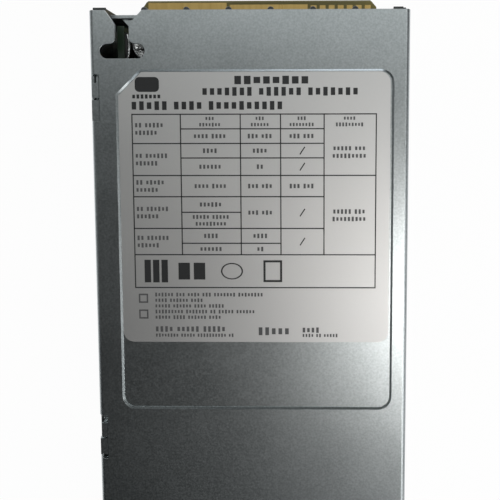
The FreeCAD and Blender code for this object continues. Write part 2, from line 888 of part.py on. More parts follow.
def rear_panel():
    """Ventilated end wall with pressed ribs, open below for the card edge and notched for the key."""
    body = new_body("RearPanelBody")
    side = "wall_in - fit_gap"
    top = "tray_top - fit_gap"
    slot_x, slot_top = "board_half + board_slot_gap", "board_top + 2 * sheet"
    notch_low = "case_height - wall_notch_depth"
    wall = new_sketch(body, "RearWall", "XZ_Plane", "-tab_inner", [
        (f"-({side})", slot_top),
        (side, slot_top),
        (side, top),
        ("key_x + key_mouth_right", top),
        ("key_x + key_mouth_right", notch_low),
        ("key_x - key_mouth_left", notch_low),
        ("key_x - key_mouth_left", top),
        (f"-({side})", top),
    ])
    pad(body, "RearWallPad", wall, "sheet")
    vent_low = f"{slot_top} + vent_margin"
    vent_high = f"{notch_low} - vent_margin"
    row_height = f"({vent_high} - ({vent_low}) - vent_bar) / {VENT_ROWS}"
    vents = new_sketch(body, "Vents", "XZ_Plane", "-tab_inner")
    for column in range(RIB_COUNT + 1):
        x = f"rib_pitch * {column - RIB_COUNT / 2}"
        for row in range(VENT_ROWS):
            if (column, row) == KEY_VENT:
                continue
            low = f"{vent_low} + {row} * ({row_height} + vent_bar)"
            span = ((f"{x} - vent_width / 2", f"{x} + vent_width / 2"), (low, f"{low} + {row_height}"))
            draw_outline(vents, rectangle(*span))
    pocket(body, "VentsPocket", vents, "-sheet")
    ribs = new_sketch(body, "Ribs", "XY_Plane", vent_low)
    for x in rib_places():
        draw_outline(ribs, rib_outline(x))
    pad(body, "RibsPad", ribs, f"case_height - rib_drop - ({vent_low})")
    node("rear_panel", body)


# Front panel and fan

def fan_corners():
    """Expressions for the fan's fixing holes, as (x, z)."""
    reach = "(fan_half - fan_hole_inset)"
    return [(f"fan_x + {right} * {reach}", f"fan_z + {high} * {reach}") for right, high in FAN_FIXINGS]


def fan_holes(name, low, high):
    """Round tools at the fan's fixing holes."""
    return [
        rod(f"{name}{index}", "y", "fan_screw_radius + fit_gap / 2", centre, low, high)
        for index, centre in enumerate(fan_corners())
    ]


def grille_cells():
    """Columns and rows of the hexagonal grille holes that lie inside the fan's bore."""
    pitch = val(GRILLE_PITCH)
    rise = pitch * math.cos(math.radians(30))
    reach = val("bore_radius - grille_hole")
    steps = int(reach / rise)
    for row in range(-steps, steps + 1):
        shift = 0.5 if row % 2 else 0
        for column in range(-steps - 1, steps + 1):
            if math.hypot((column + shift) * pitch, row * rise) <= reach:
                yield column + shift, row


def front_panel():
    """Front wall with a honeycomb fan grille, the inlet's cut-out, a latch notch and a foot flange."""
    body = new_body("FrontPanelBody")
    low_side, high_side = "lower_in - fit_gap", "wall_in - fit_gap"
    top = "tray_top - fit_gap"
    notch_x = "latch_in - latch_travel_room"
    wall = new_sketch(body, "FrontWall", "XZ_Plane", "half_length - sheet", [
        (f"-({low_side})", "sheet + bend_radius"),
        (f"-({low_side}) + bend_radius", "sheet"),
        (f"{low_side} - bend_radius", "sheet"),
        (low_side, "sheet + bend_radius"),
        (low_side, "latch_low - ear_gap"),
        (notch_x, "latch_low - ear_gap"),
        (notch_x, "latch_high + ear_gap"),
        (high_side, "latch_high + ear_gap"),
        (high_side, top),
        (f"-({high_side})", top),
        (f"-({high_side})", "joggle_base - joggle_shift - fit_gap"),
        (f"-({low_side})", "joggle_base - joggle_shift - fit_gap"),
    ])
    pad(body, "FrontWallPad", wall, "sheet")
    flange = new_sketch(body, "FootFlange", "XY_Plane", "sheet", rectangle(
        (f"-({low_side}) + bend_radius", f"{low_side} - bend_radius"),
        ("front_face + sheet", "front_face + panel_flange"),
    ))
    pad(body, "FootFlangePad", flange, "sheet")
    holes = new_sketch(body, "FrontHoles", "XZ_Plane", "half_length - sheet", rectangle(
        ("inlet_right - inlet_width", "inlet_right"),
        ("inlet_z - inlet_height / 2", "inlet_z + inlet_height / 2"),
    ))
    for x, z in fan_corners():
        draw_circle(holes, x, z, "fan_screw_radius + fit_gap / 2")
    for z in handle_feet():
        draw_outline(holes, rectangle(span("handle_x", "lug_width"), span(z, "lug_width")))
    draw_outline(holes, rectangle(span("inlet_x", "light_width"), span("light_z", "light_width")))
    pocket(body, "FrontHolesPocket", holes, "-sheet")
    cells = [
        prism(f"GrilleHole{index}", 6, "grille_hole",
              (f"fan_x + {column} * {GRILLE_PITCH}", f"fan_z + {row} * {GRILLE_PITCH} * cos(30)"),
              "front_face - sheet", "front_inner + sheet", GRILLE_TURN)
        for index, (column, row) in enumerate(grille_cells())
    ]
    node("front_panel", cut("FrontPanel", body, *cells))


def fan_frame():
    """Square fan housing with a round bore, and a motor base on struts with its bearing tube."""
    centre = ("fan_x", "fan_z")
    blank = box("FanBlank", span("fan_x", "fan_size"), ("fan_front", "fan_rear"), span("fan_z", "fan_size"))
    bore = rod("FanBore", "y", "bore_radius", centre, "fan_front - sheet", "fan_rear + sheet")
    fixings = fan_holes("FanFix", "fan_front - sheet", "front_face + fan_screw_length")
    shell = cut("FanShell", blank, bore, *fixings)
    base = prism("MotorBase", MOTOR_SIDES, "hub_radius", centre, "base_face", "fan_rear")
    tube = prism("BearingTube", MOTOR_SIDES, "bearing_radius", centre, "bearing_end", "fan_rear")
    overlap = "fan_wall / 2"
    struts = []
    for index in range(STRUT_COUNT):
        strut = box(f"Strut{index}", ("0", f"bore_radius + {overlap}"), ("base_face", "fan_rear"),
                    ("-strut_width / 2", "strut_width / 2"))
        turn = Rotation(Vector(0, 1, 0), 360 / STRUT_COUNT * index)
        offset = turn.multVec(Vector(0, 0, 1))
        strut.Placement = Placement(Vector(), turn)
        put(strut, (f"fan_x - ({offset.x}) * strut_width / 2", "base_face",
                    f"fan_z - ({offset.z}) * strut_width / 2"))
        struts.append(strut)
    spider = join("FanSpider", shell, base, tube, *struts)
    hole = rod("BearingBore", "y", "shaft_radius + shaft_fit", centre, "bearing_end - sheet",
               "shaft_end + shaft_fit")
    node("fan_frame", cut("FanFrame", spider, hole))


def blade_outline(sketch):
    """Cambered blade section in the middle of the hub, turned from the fan's axis."""
    half, thick = "blade_chord / 2", "blade_thickness / 2"
    middle = "(hub_front + hub_rear) / 2"
    points = []
    for end, side in ((-1, 1), (1, 1), (1, -1), (-1, -1)):
        x = f"{end} * {half} * sin(blade_angle) + {side} * {thick} * cos(blade_angle)"
        y = f"{middle} + {end} * {half} * cos(blade_angle) - {side} * {thick} * sin(blade_angle)"
        points.append((x, y))
    turn = math.radians(val("blade_angle"))
    across = Vector(math.cos(turn), -math.sin(turn), 0)
    arcs = {}
    for edge, text in ((0, "blade_camber + blade_thickness"), (2, "blade_camber")):
        start, end = spot(points[edge]), spot(points[edge + 1])
        sag = math.sqrt(val(text) ** 2 - (end - start).Length ** 2 / 4)
        arcs[edge] = ((start + end) / 2 - across * sag, text)
    draw_loop(sketch, points, arcs)


def fan_impeller():
    """Hub cup with a shaft socket and a ring of pitched, cambered blades."""
    body = new_body("ImpellerBody", ("fan_x", "0", "fan_z"))
    profile = new_sketch(body, "HubProfile", "XY_Plane", "0", [
        ("0", "hub_front"),
        ("hub_radius", "hub_front"),
        ("hub_radius", "hub_rear"),
        ("cup_radius", "hub_rear"),
        ("cup_radius", "hub_front + hub_top"),
        ("shaft_radius", "hub_front + hub_top"),
        ("shaft_radius", "hub_front + hub_wall"),
        ("0", "hub_front + hub_wall"),
    ])
    spin(body, "Revolution", "HubRevolution", profile)
    root = "hub_radius - hub_wall + fit_gap"
    section = new_sketch(body, "BladeSection", "XY_Plane", root)
    blade_outline(section)
    blade = pad(body, "Blade", section, f"blade_tip - ({root})")
    blades = body.newObject("PartDesign::PolarPattern", "Blades")
    blades.Originals = [blade]
    blades.Axis = (origin(body, "Y_Axis"), [""])
    blades.Angle = 360
    blades.Occurrences = BLADE_COUNT
    body.Tip = blades
    node("fan_impeller", body)


def fan_motor():
    """Shaft and stator of the fan."""
    centre = ("fan_x", "fan_z")
    node("fan_shaft", rod("FanShaft", "y", "shaft_radius", centre, "hub_front + hub_wall", "shaft_end"))
    span_y = ("bearing_end + air_gap", "base_face - air_gap")
    poles = prism("StatorPoles", MOTOR_SIDES, "stator_radius", centre, *span_y)
    hole = prism("StatorBore", MOTOR_SIDES, "bearing_radius", centre, "hub_front", "fan_rear")
    node("fan_stator", cut("FanStator", poles, hole))


def fan_screws():
    """Two hexagon-headed screws through the front panel into the fan's corners."""
    screws = []
    for index, centre in enumerate(fan_corners()):
        name = f"FanScrew{index}"
        head = prism(name + "Head", 6, "fan_screw_head", centre, "front_face - 2 * sheet", "front_face")
        shank = rod(name + "Shank", "y", "fan_screw_radius", centre, "front_face",
                    "front_face + fan_screw_length")
        screws.append(join(name, head, shank))
    node("fan_screws", group("FanScrews", *screws))


def fan_cable():
    """Flat four-wire lead from the fan's motor base down to the board."""
    body = new_body("FanCableBody", ("fan_x", "0", "0"))
    thick = "board_gap / 2"
    start, turn = "fan_rear", "board_front + board_gap"
    level = "fan_z - 2 * pin_width"
    profile = new_sketch(body, "FanCablePath", "YZ_Plane", "0", [
        (start, level),
        (start, f"{level} - {thick}"),
        (f"{turn} - {thick}", f"{level} - {thick}"),
        (f"{turn} - {thick}", "board_top"),
        (turn, "board_top"),
        (turn, level),
    ])
    middle_pad(body, "FanCablePad", profile, "4 * strut_width")
    node("fan_cable", body)


# Mains inlet

def ac_inlet():
    """Moulded three-pin inlet, flush with the front panel and lipped behind it."""
    body = new_body("InletBody", ("inlet_x", "0", "inlet_z"))
    half_x, half_z = "inlet_width / 2", "inlet_height / 2"
    shell = new_sketch(body, "InletShell", "XZ_Plane", "half_length",
                       rectangle((f"-({half_x})", half_x), (f"-({half_z})", half_z)))
    shell_pad = pad(body, "InletShellPad", shell, "inlet_depth")
    shell_pad.Reversed = True
    lip = new_sketch(body, "InletLip", "XZ_Plane", "half_length - sheet",
                     rectangle((f"-({half_x})", half_x), (f"-({half_z}) - inlet_lip", f"{half_z} + inlet_lip")))
    lip_pad = pad(body, "InletLipPad", lip, "inlet_lip")
    lip_pad.Reversed = True
    mouth_x, mouth_z = "inlet_width / 2 - inlet_wall", "inlet_mouth_height / 2"
    mouth = new_sketch(body, "InletMouth", "XZ_Plane", "half_length", [
        (f"-({mouth_x})", f"-({mouth_z})"),
        (mouth_x, f"-({mouth_z})"),
        (mouth_x, f"{mouth_z} - inlet_mouth_cut"),
        (f"{mouth_x} - inlet_mouth_cut", mouth_z),
        (f"-({mouth_x}) + inlet_mouth_cut", mouth_z),
        (f"-({mouth_x})", f"{mouth_z} - inlet_mouth_cut"),
    ])
    pocket(body, "InletMouthPocket", mouth, "inlet_mouth_depth")
    seats = new_sketch(body, "PinSeats", "XZ_Plane", "half_length")
    for column, row in PIN_PLACES:
        x, z = f"{column} * pin_pitch", f"{row} * pin_offset / 2"
        draw_outline(seats, rectangle(
            (f"{x} - pin_width / 2", f"{x} + pin_width / 2"),
            (f"{z} - pin_height / 2", f"{z} + pin_height / 2"),
        ))
    pocket(body, "PinSeatsPocket", seats, "inlet_depth")
    node("ac_inlet", body)


def pin_span(column):
    """Span of an inlet pin along X."""
    middle = f"inlet_x + {column} * pin_pitch"
    return f"{middle} - pin_width / 2", f"{middle} + pin_width / 2"


def inlet_pins():
    """Three flat pins that run through the back of the inlet."""
    pins = []
    for column, row in PIN_PLACES:
        z = f"pin_row + {row} * pin_offset / 2"
        pins.append(box(
            f"InletPin{column + 1}", pin_span(column),
            ("front_face + pin_sink", "inlet_rear + pin_tail"),
            (f"{z} - pin_height / 2", f"{z} + pin_height / 2"),
        ))
    node("inlet_pins", group("InletPins", *pins))


def inlet_links():
    """Three bent strips from the inlet's pins down to the board."""
    links = []
    for column, row in PIN_PLACES:
        body = new_body(f"InletLink{column + 1}", (pin_span(column)[0], "0", "0"))
        start = "inlet_rear + pin_tail"
        level = f"pin_row + {row} * pin_offset / 2"
        end = "board_front + link_foot + link_thickness"
        strip = new_sketch(body, f"InletLinkPath{column + 1}", "YZ_Plane", "0", [
            (start, level),
            (start, f"{level} - link_thickness"),
            (f"{end} - link_thickness", f"{level} - link_thickness"),
            (f"{end} - link_thickness", "board_top"),
            (end, "board_top"),
            (end, level),
        ])
        pad(body, f"InletLinkPad{column + 1}", strip, "pin_width")
        links.append(body)
    node("inlet_links", group("InletLinks", *links))


# Handle, latch and status light

def handle_feet():
    """Expressions for the heights of the handle's two feet."""
    return "handle_low + handle_bar / 2", "handle_high - handle_bar / 2"


def lug_outline(z):
    """Barbed lug of a handle foot, which snaps through the front panel."""
    half = "lug_width / 2"
    tip = "front_inner + lug_length"
    return [
        ("front_face", f"{z} - {half}"),
        ("front_inner", f"{z} - {half}"),
        ("front_inner", f"{z} - {half} - lug_barb"),
        (tip, f"{z} - {half}"),
        (tip, f"{z} + {half}"),
        ("front_inner", f"{z} + {half} + lug_barb"),
        ("front_inner", f"{z} + {half}"),
        ("front_face", f"{z} + {half}"),
    ]


def on_handle_edge(*ends):
    """Whether an edge is on the outside of the handle's loop and runs along it."""
    outside = all(
        near(end.z, "handle_low") or near(end.z, "handle_high") or near(end.y, "handle_end") for end in ends
    )
    return outside and near(ends[0].x, ends[1].x)


def handle():
    """Moulded loop handle that stands off the front panel."""
    body = new_body("HandleBody", ("handle_x", "0", "0"))
    inner_corner = "handle_corner - handle_bar"
    loop = new_sketch(body, "HandleLoop", "YZ_Plane", "0", [
        ("front_face", "handle_low"),
        ("front_face", "handle_low + handle_bar"),
        ("handle_end + handle_bar", "handle_low + handle_bar", inner_corner),
        ("handle_end + handle_bar", "handle_high - handle_bar", inner_corner),
        ("front_face", "handle_high - handle_bar"),
        ("front_face", "handle_high"),
        ("handle_end", "handle_high", "handle_corner"),
        ("handle_end", "handle_low", "handle_corner"),
    ])
    middle_pad(body, "HandlePad", loop, "handle_bar")
    ease(body, "Chamfer", "HandleEdges", "Size", "handle_edge", on_handle_edge)
    lugs = new_sketch(body, "HandleLugs", "YZ_Plane", "0", *[lug_outline(z) for z in handle_feet()])
    middle_pad(body, "HandleLugsPad", lugs, "lug_width")
    node("handle", body)


def latch_lever():
    """Steel lever with a pin knuckle, a spring tail and a ramped tooth."""
    body = new_body("LeverBody")
    arm = new_sketch(body, "LeverArm", "XY_Plane", "latch_low", [
        ("latch_in", "grip_end + grip_margin"),
        ("latch_out", "grip_end + grip_margin"),
        ("latch_out", "tooth_front"),
        ("tooth_tip", "tooth_front"),
        ("tooth_tip", "tooth_front + tooth_flat"),
        ("latch_out", "tooth_rear"),
        ("latch_out", "latch_pin_y - latch_knuckle"),
        ("latch_pin_x", "latch_pin_y - latch_knuckle / 2"),
        ("latch_pin_x", "latch_pin_y + latch_tail"),
        ("latch_pin_x - latch_arm", "latch_pin_y + latch_tail"),
        ("latch_pin_x - latch_arm", "latch_pin_y - latch_knuckle"),
        ("latch_in", "latch_pin_y - 2 * latch_knuckle"),
    ])
    pad(body, "LeverArmPad", arm, "latch_height")
    knuckle = new_sketch(body, "LeverKnuckle", "XY_Plane", "latch_low")
    draw_circle(knuckle, "latch_pin_x", "latch_pin_y", "latch_knuckle")
    pad(body, "LeverKnucklePad", knuckle, "latch_height")
    bore = new_sketch(body, "LeverBore", "XY_Plane", "latch_high")
    draw_circle(bore, "latch_pin_x", "latch_pin_y", "latch_pin_radius + shaft_fit")
    pocket(body, "LeverBorePocket", bore, "latch_height")
    node("latch_lever", body)


def latch_grip():
    """Thumb grip moulded over the lever's free end, with the lever's slot in its back."""
    low, high = "latch_low - ear_gap / 2", "latch_high + ear_gap / 2"
    front = "front_face - grip_margin"
    block = box("GripBlock", ("latch_out - grip_thickness + grip_margin / 2", "latch_out + grip_margin / 2"),
                ("grip_end", front), (low, high))
    slot = box("GripSlot", ("latch_in", "latch_out"), ("grip_end + grip_margin", "front_face"),
               ("latch_low", "latch_high"))
    node("latch_grip", cut("LatchGrip", block, slot))


def latch_bracket():
    """Bracket on the right wall whose two ears hold the latch pin."""
    plate = box("BracketPlate", ("bracket_face", "lower_in"), ("bracket_front", "bracket_rear"),
                ("ear_low - sheet", "ear_high + sheet"))
    ears = []
    for name, low in (("Low", "ear_low - sheet"), ("High", "ear_high")):
        ears.append(box("BracketEar" + name, ("latch_pin_x - latch_knuckle", "lower_in"),
                        ("latch_pin_y - latch_knuckle", "bracket_rear"), (low, f"{low} + sheet")))
    hole = rod("BracketBore", "z", "latch_pin_radius", ("latch_pin_x", "latch_pin_y"),
               "ear_low - 2 * sheet", "ear_high + 2 * sheet")
    node("latch_bracket", cut("LatchBracket", join("BracketBlank", plate, *ears), hole))
    node("latch_pin", rod("LatchPin", "z", "latch_pin_radius", ("latch_pin_x", "latch_pin_y"),
                          "ear_low - sheet", "ear_high + sheet"))


def latch_spring():
    """Bowed leaf spring between the bracket and the lever's tail."""
    body = new_body("SpringBody")
    foot, peak = "bracket_face", "latch_pin_x + fit_gap"
    front, rear = "(bracket_front + fit_gap)", "(latch_pin_y + latch_tail - fit_gap)"
    bend = f"({front} + {rear}) / 2"
    step = "2.5 * spring_thickness"
    inner_peak = f"{peak} + {step} * ({foot} - ({peak})) / ({bend} - {front})"
    leaf = new_sketch(body, "SpringLeaf", "XY_Plane", "latch_low + ear_gap", [
        (foot, front),
        (peak, bend),
        (foot, rear),
        (foot, f"{rear} - {step}"),
        (inner_peak, bend),
        (foot, f"{front} + {step}"),
    ])
    pad(body, "SpringPad", leaf, "latch_height - 2 * ear_gap")
    node("latch_spring", body)


def status_light():
    """Square light pipe in the front panel."""
    node("status_light", box("StatusLight", span("inlet_x", "light_width"),
                             ("front_face - light_reach", "front_face + light_length"),
                             span("light_z", "light_width")))


# Board, its contacts and what carries it

def post_places():
    """Expressions for the board's supporting posts."""
    return [
        ("left_edge + post_width / 2", "bulk_front + bulk_length / 2"),
        ("left_edge + post_width / 2", "bulk_second + bulk_length / 2"),
        ("control_face + post_width", "rectifier_front"),
        ("right_edge - post_width / 2", "fuse_rear + screw_room / 2"),
        ("right_edge - post_width", "standby_rear + screw_room / 2"),
    ]


def post_boxes(name, width, y, z, grow="0"):
    """Boxes across the board's posts, from y and z spans that start at each post."""
    return [
        box(f"{name}{index}", span(x, f"{width} + 2 * ({grow})"),
            (f"{front} + {y[0]} - ({grow})", f"{front} + {y[1]} + ({grow})"), z)
        for index, (x, front) in enumerate(post_places())
    ]


def on_card_edge(start, end):
    """Whether an edge runs across the board's rear end."""
    across = near(start.y, "board_rear") and near(end.y, "board_rear")
    return across and near(start.z, end.z)


def main_board():
    """Main board whose rear end is the bevelled card edge."""
    body = new_body("BoardBody")
    shape = new_sketch(body, "BoardOutline", "XY_Plane", "board_low", [
        ("-board_half", "board_front"),
        ("board_half", "board_front"),
        ("board_half", "board_rear - card_corner"),
        ("board_half - card_corner / 2", "board_rear"),
        ("-board_half + card_corner / 2", "board_rear"),
        ("-board_half", "board_rear - card_corner"),
    ])
    pad(body, "BoardPad", shape, "board_thickness")
    ease(body, "Chamfer", "CardBevel", "Size", "card_bevel", on_card_edge)
    slots = post_boxes("BoardSlot", "tongue_width", ("0", "sheet"), ("board_low - sheet", "board_top + sheet"),
                       "fit_gap / 2")
    node("main_board", cut("MainBoard", body, *slots))


def contact_pads():
    """Gold pads of the card edge, two wide and seven narrow on each face."""
    y = ("board_rear - contact_setback - contact_length", "board_rear - contact_setback")
    spans = []
    half = "contact_width / 2"
    for first, last in WIDE_CONTACTS:
        spans.append((first, last))
    spans += [(place, place) for place in NARROW_CONTACTS]
    pads = []
    for first, last in spans:
        x = (f"{first - MIDDLE_CONTACT} * contact_pitch - {half}",
             f"{last - MIDDLE_CONTACT} * contact_pitch + {half}")
        for face, z in (("Top", ("board_top", "board_top + contact_thickness")),
                        ("Low", ("board_low - contact_thickness", "board_low"))):
            pads.append(box(f"Contact{face}{first}", x, y, z))
    node("contact_pads", group("ContactPads", *pads))


def board_fixings():
    """Folded posts that carry the board on twist tongues, and the insulating sheet under it."""
    webs = post_boxes("PostWeb", "post_width", ("0", "sheet"), ("sheet", "board_low"))
    feet = post_boxes("PostFoot", "post_width", ("0", "post_foot"), ("sheet", "2 * sheet"))
    tongues = post_boxes("PostTongue", "tongue_width", ("0", "sheet"),
                         ("board_low", "board_top + tongue_rise"))
    posts = [join(f"Post{index}", *pieces) for index, pieces in enumerate(zip(webs, feet, tongues))]
    node("board_posts", group("BoardPosts", *posts))
    sheet_half = "lower_in - bend_radius - insulation_margin"
    film = box("InsulationFilm", (f"-({sheet_half})", sheet_half),
               ("front_face + panel_flange + insulation_margin", "tab_inner - insulation_margin"),
               ("sheet", "sheet + insulation"))
    gaps = post_boxes("InsulationGap", "post_width", ("0", "post_foot"), ("0", "board_low"), "insulation")
    node("insulation_sheet", cut("InsulationSheet", film, *gaps))


# Parts on the board

def standing(name, x, y, height):
    """Box that stands on the board."""
    return box(name, x, y, ("board_top", f"board_top + ({height})"))


def bulk_capacitors():
    """Two storage capacitors that lie along the left side."""
    cans = [
        rod(f"BulkCan{index}", "y", "bulk_radius", ("bulk_x", "bulk_z"), front, f"{front} + bulk_length")
        for index, front in enumerate(("bulk_front", "bulk_second"))
    ]
    node("bulk_capacitors", group("BulkCapacitors", *cans))


def filter_parts():
    """Fuse, line capacitor and relay along the right side."""
    node("fuse", standing("Fuse", ("right_edge - fuse_width", "right_edge"), ("fuse_front", "fuse_rear"),
                          "fuse_height"))
    node("filter_capacitor", standing("FilterCapacitor", ("right_edge - filter_cap_width", "right_edge"),
                                      ("filter_front", "filter_rear"), "filter_cap_height"))
    node("relay", standing("Relay", ("right_edge - relay_width", "right_edge"),
                           ("relay_front", "relay_rear"), "relay_height"))


def wound_block(prefix, x, y, height, leg):
    """Ferrite frame core with its winding round the middle leg. x and y are spans."""
    low, high = "board_top", f"board_top + ({height})"
    middle = f"(({y[0]}) + ({y[1]})) / 2"
    core_x = (f"{x[0]} + winding_build", f"{x[1]} - winding_build")
    window_z = (f"{low} + {leg}", f"{high} - {leg}")
    past_x = (f"{x[0]} - sheet", f"{x[1]} + sheet")
    core = cut(
        f"{prefix}Core",
        box(f"{prefix}Block", core_x, y, (low, high)),
        box(f"{prefix}WindowFront", past_x, (f"{y[0]} + {leg}", f"{middle} - {leg}"), window_z),
        box(f"{prefix}WindowRear", past_x, (f"{middle} + {leg}", f"{y[1]} - {leg}"), window_z),
    )
    inset = f"{leg} + winding_margin"
    winding = cut(
        f"{prefix}Winding",
        box(f"{prefix}Wrap", x, (f"{y[0]} + {inset}", f"{y[1]} - ({inset})"),
            (f"{low} + {inset}", f"{high} - ({inset})")),
        box(f"{prefix}WrapHole", core_x, (f"{middle} - {leg}", f"{middle} + {leg}"), (low, high)),
    )
    return core, winding


def span(middle, width):
    """Pair of expressions at half a width on each side of a middle."""
    return f"{middle} - ({width}) / 2", f"{middle} + ({width}) / 2"


def wound_parts():
    """Filter chokes, boost choke, main transformer, resonant choke and standby transformer."""
    lane_x = ("choke_left", "choke_right")
    parts = (
        ("front_filter_choke", lane_x,
         ("fuse_front", "fuse_front + filter_choke_length"), "filter_choke_height", "filter_choke_leg"),
        ("rear_filter_choke", lane_x,
         ("choke_second", "choke_second + filter_choke_length"), "filter_choke_height", "filter_choke_leg"),
        ("boost_choke", lane_x,
         ("boost_front", "boost_front + boost_choke_length"), "boost_choke_height", "boost_choke_leg"),
        ("transformer", span("transformer_x", "transformer_width"),
         ("transformer_front", "transformer_rear"), "transformer_height", "transformer_leg"),
        ("resonant_choke", ("right_edge - resonant_width", "right_edge"),
         ("resonant_front", "resonant_rear"), "resonant_height", "resonant_leg"),
        ("standby_transformer", ("right_edge - standby_width", "right_edge"),
         ("standby_front", "standby_rear"), "standby_height", "standby_leg"),
    )
    for name, x, y, height, leg in parts:
        core, winding = wound_block(name.title().replace("_", ""), x, y, height, leg)
        node(f"{name}_core", core)
        node(f"{name}_winding", winding)


def heat_sinks():
    """Boost and primary heat sinks with the power devices clamped to them."""
    lift = "board_top + device_lift"
    sides = (
        ("boost", ("right_edge - sink_thickness", "right_edge"), "sink_front",
         ("right_edge - sink_thickness - device_thickness", "right_edge - sink_thickness")),
        ("primary", ("left_edge", "left_edge + sink_thickness"), "primary_front",
         ("left_edge + sink_thickness", "left_edge + sink_thickness + device_thickness")),
    )
    for name, plate_x, front, device_x in sides:
        title = name.title()
        node(f"{name}_heat_sink", box(f"{title}Sink", plate_x, (front, f"{front} + sink_length"),
                                      ("board_top", "cover_under - sink_top_gap")))
        devices = []
        for index, share in enumerate(DEVICE_PLACES):
            middle = f"{front} + sink_length * {share}"
            devices.append(box(f"{title}Device{index}", device_x, span(middle, "device_width"),
                               (lift, f"{lift} + device_height")))
        node(f"{name}_devices", group(f"{title}Devices", *devices))


def rectifier_heat_sink():
    """Finned heat sink of the output rectifiers, with its fins along the air flow."""
    x = span("transformer_x", "transformer_width")
    y = ("rectifier_front", "rectifier_rear")
    base = standing("RectifierBase", x, y, "2 * rectifier_fin")
    count = int(val("(transformer_width - rectifier_fin) / rectifier_fin_pitch")) + 1
    fins = [
        standing(f"RectifierFin{index}", (f"{x[0]} + {index} * rectifier_fin_pitch",
                                          f"{x[0]} + {index} * rectifier_fin_pitch + rectifier_fin"),
                 y, "rectifier_height")
        for index in range(count)
    ]
    node("rectifier_heat_sink", join("RectifierSink", base, *fins))


def output_parts():
    """Output capacitors and busbars beside the card edge."""
    cans = [
        rod(f"OutputCan{column}", "z", "output_cap_radius",
            (f"output_cap_x + {column} * output_cap_pitch", "output_cap_y"),
            "board_top", "cover_under - output_cap_top_gap")
        for column in range(OUTPUT_CAP_COLUMNS)
    ]
    node("output_capacitors", group("OutputCapacitors", *cans))
    bars = []
    for index in (0, 1):
        high = f"right_edge - {index} * (busbar_width + part_gap)"
        x = (f"{high} - busbar_width", high)
        name = f"Busbar{index}"
        bars.append(join(
            name,
            standing(name + "Foot", x, ("busbar_front", "busbar_rear"), "busbar_thickness"),
            standing(name + "Riser", x, ("busbar_front", "busbar_front + busbar_thickness"), "busbar_rise"),
        ))
    node("output_busbars", group("OutputBusbars", *bars))


def control_parts():
    """Upright control board at the left wall and the chips on its inner face."""
    height = "(cover_under - control_top_gap - board_top)"
    node("control_board", standing("ControlBoard", ("control_back", "control_face"),
                                   ("control_front", "control_rear"), height))
    chips = []
    for column in range(CHIP_COLUMNS):
        for row in range(len(CHIP_LEVELS)):
            y = f"control_front + (control_rear - control_front) * {(column + 0.5) / CHIP_COLUMNS}"
            z = f"board_top + {height} * {CHIP_LEVELS[row]}"
            chips.append(box(f"Chip{column}{row}", ("control_face", "control_face + chip_thickness"),
                             span(y, "chip_size"), span(z, "chip_size")))
    node("control_chips", group("ControlChips", *chips))


def check_document():
    """Stop if any object failed or any sub-part has no valid solid."""
    DOC.recompute()
    for item in DOC.Objects:
        if "Invalid" in item.State or "Error" in item.State:
            raise RuntimeError(f"{item.Name} failed: {item.State}")
    for part in NODES:
        if part.Shape.isNull() or not part.Shape.isValid() or not part.Shape.Solids:
            raise RuntimeError(f"{part.Label} has no valid solid")


def main():
    """Build every sub-part, check the document and write one file per sub-part."""
    for build in (
        base_tray, top_cover, cover_screw, rating_label, rear_panel,
        front_panel, fan_frame, fan_impeller, fan_motor, fan_screws, fan_cable,
        ac_inlet, inlet_pins, inlet_links,
        handle, latch_lever, latch_grip, latch_bracket, latch_spring, status_light,
        main_board, contact_pads, board_fixings,
        bulk_capacitors, filter_parts, wound_parts, heat_sinks,
        rectifier_heat_sink, output_parts, control_parts,
    ):
        build()
    check_document()
    os.makedirs("parts", exist_ok=True)
    for part in NODES:
        part.Shape.exportStep(f"parts/{part.Label}.step")


main()
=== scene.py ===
"""Looks of a slim server power supply: finishes, rounded edges, label print, light and camera."""

import json
import logging
import math
import random
from collections.abc import Callable
from dataclasses import dataclass
from enum import Enum

import bmesh
import bpy
from mathutils import Matrix, Vector

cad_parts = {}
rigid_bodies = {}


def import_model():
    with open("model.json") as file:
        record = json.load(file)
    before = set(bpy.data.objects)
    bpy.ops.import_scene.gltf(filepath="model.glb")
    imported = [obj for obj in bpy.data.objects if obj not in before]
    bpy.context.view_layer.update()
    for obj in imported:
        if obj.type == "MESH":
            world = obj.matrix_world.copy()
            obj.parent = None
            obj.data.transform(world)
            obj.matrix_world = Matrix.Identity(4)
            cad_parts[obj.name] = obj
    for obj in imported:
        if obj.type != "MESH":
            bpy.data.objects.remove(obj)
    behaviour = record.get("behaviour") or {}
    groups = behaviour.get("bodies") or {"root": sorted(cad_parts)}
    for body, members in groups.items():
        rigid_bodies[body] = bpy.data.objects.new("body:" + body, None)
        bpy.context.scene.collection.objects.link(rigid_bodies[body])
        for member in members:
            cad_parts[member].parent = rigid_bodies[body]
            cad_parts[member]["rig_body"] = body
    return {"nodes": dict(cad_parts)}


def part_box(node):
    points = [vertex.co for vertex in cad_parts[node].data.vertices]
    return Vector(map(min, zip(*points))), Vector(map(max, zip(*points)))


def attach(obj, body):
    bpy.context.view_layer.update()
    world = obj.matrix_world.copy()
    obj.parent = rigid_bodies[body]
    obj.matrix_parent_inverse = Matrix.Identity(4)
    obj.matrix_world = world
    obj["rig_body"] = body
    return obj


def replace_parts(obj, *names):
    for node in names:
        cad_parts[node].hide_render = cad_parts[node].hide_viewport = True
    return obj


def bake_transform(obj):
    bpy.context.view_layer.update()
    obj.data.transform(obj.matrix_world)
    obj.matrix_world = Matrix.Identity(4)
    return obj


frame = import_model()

LOG = logging.getLogger("power_supply")
MM = 0.001
FULL_TURN = 2.0 * math.pi
QUARTER = math.radians(90.0)
FLAT_TURN = math.radians(0.05)
NEAR_FLAT = math.radians(0.2)
NEAR = 0.01 * MM
WELDED = 0.001 * MM
MERGED = 0.0005 * MM
CREST_STEPS = 3
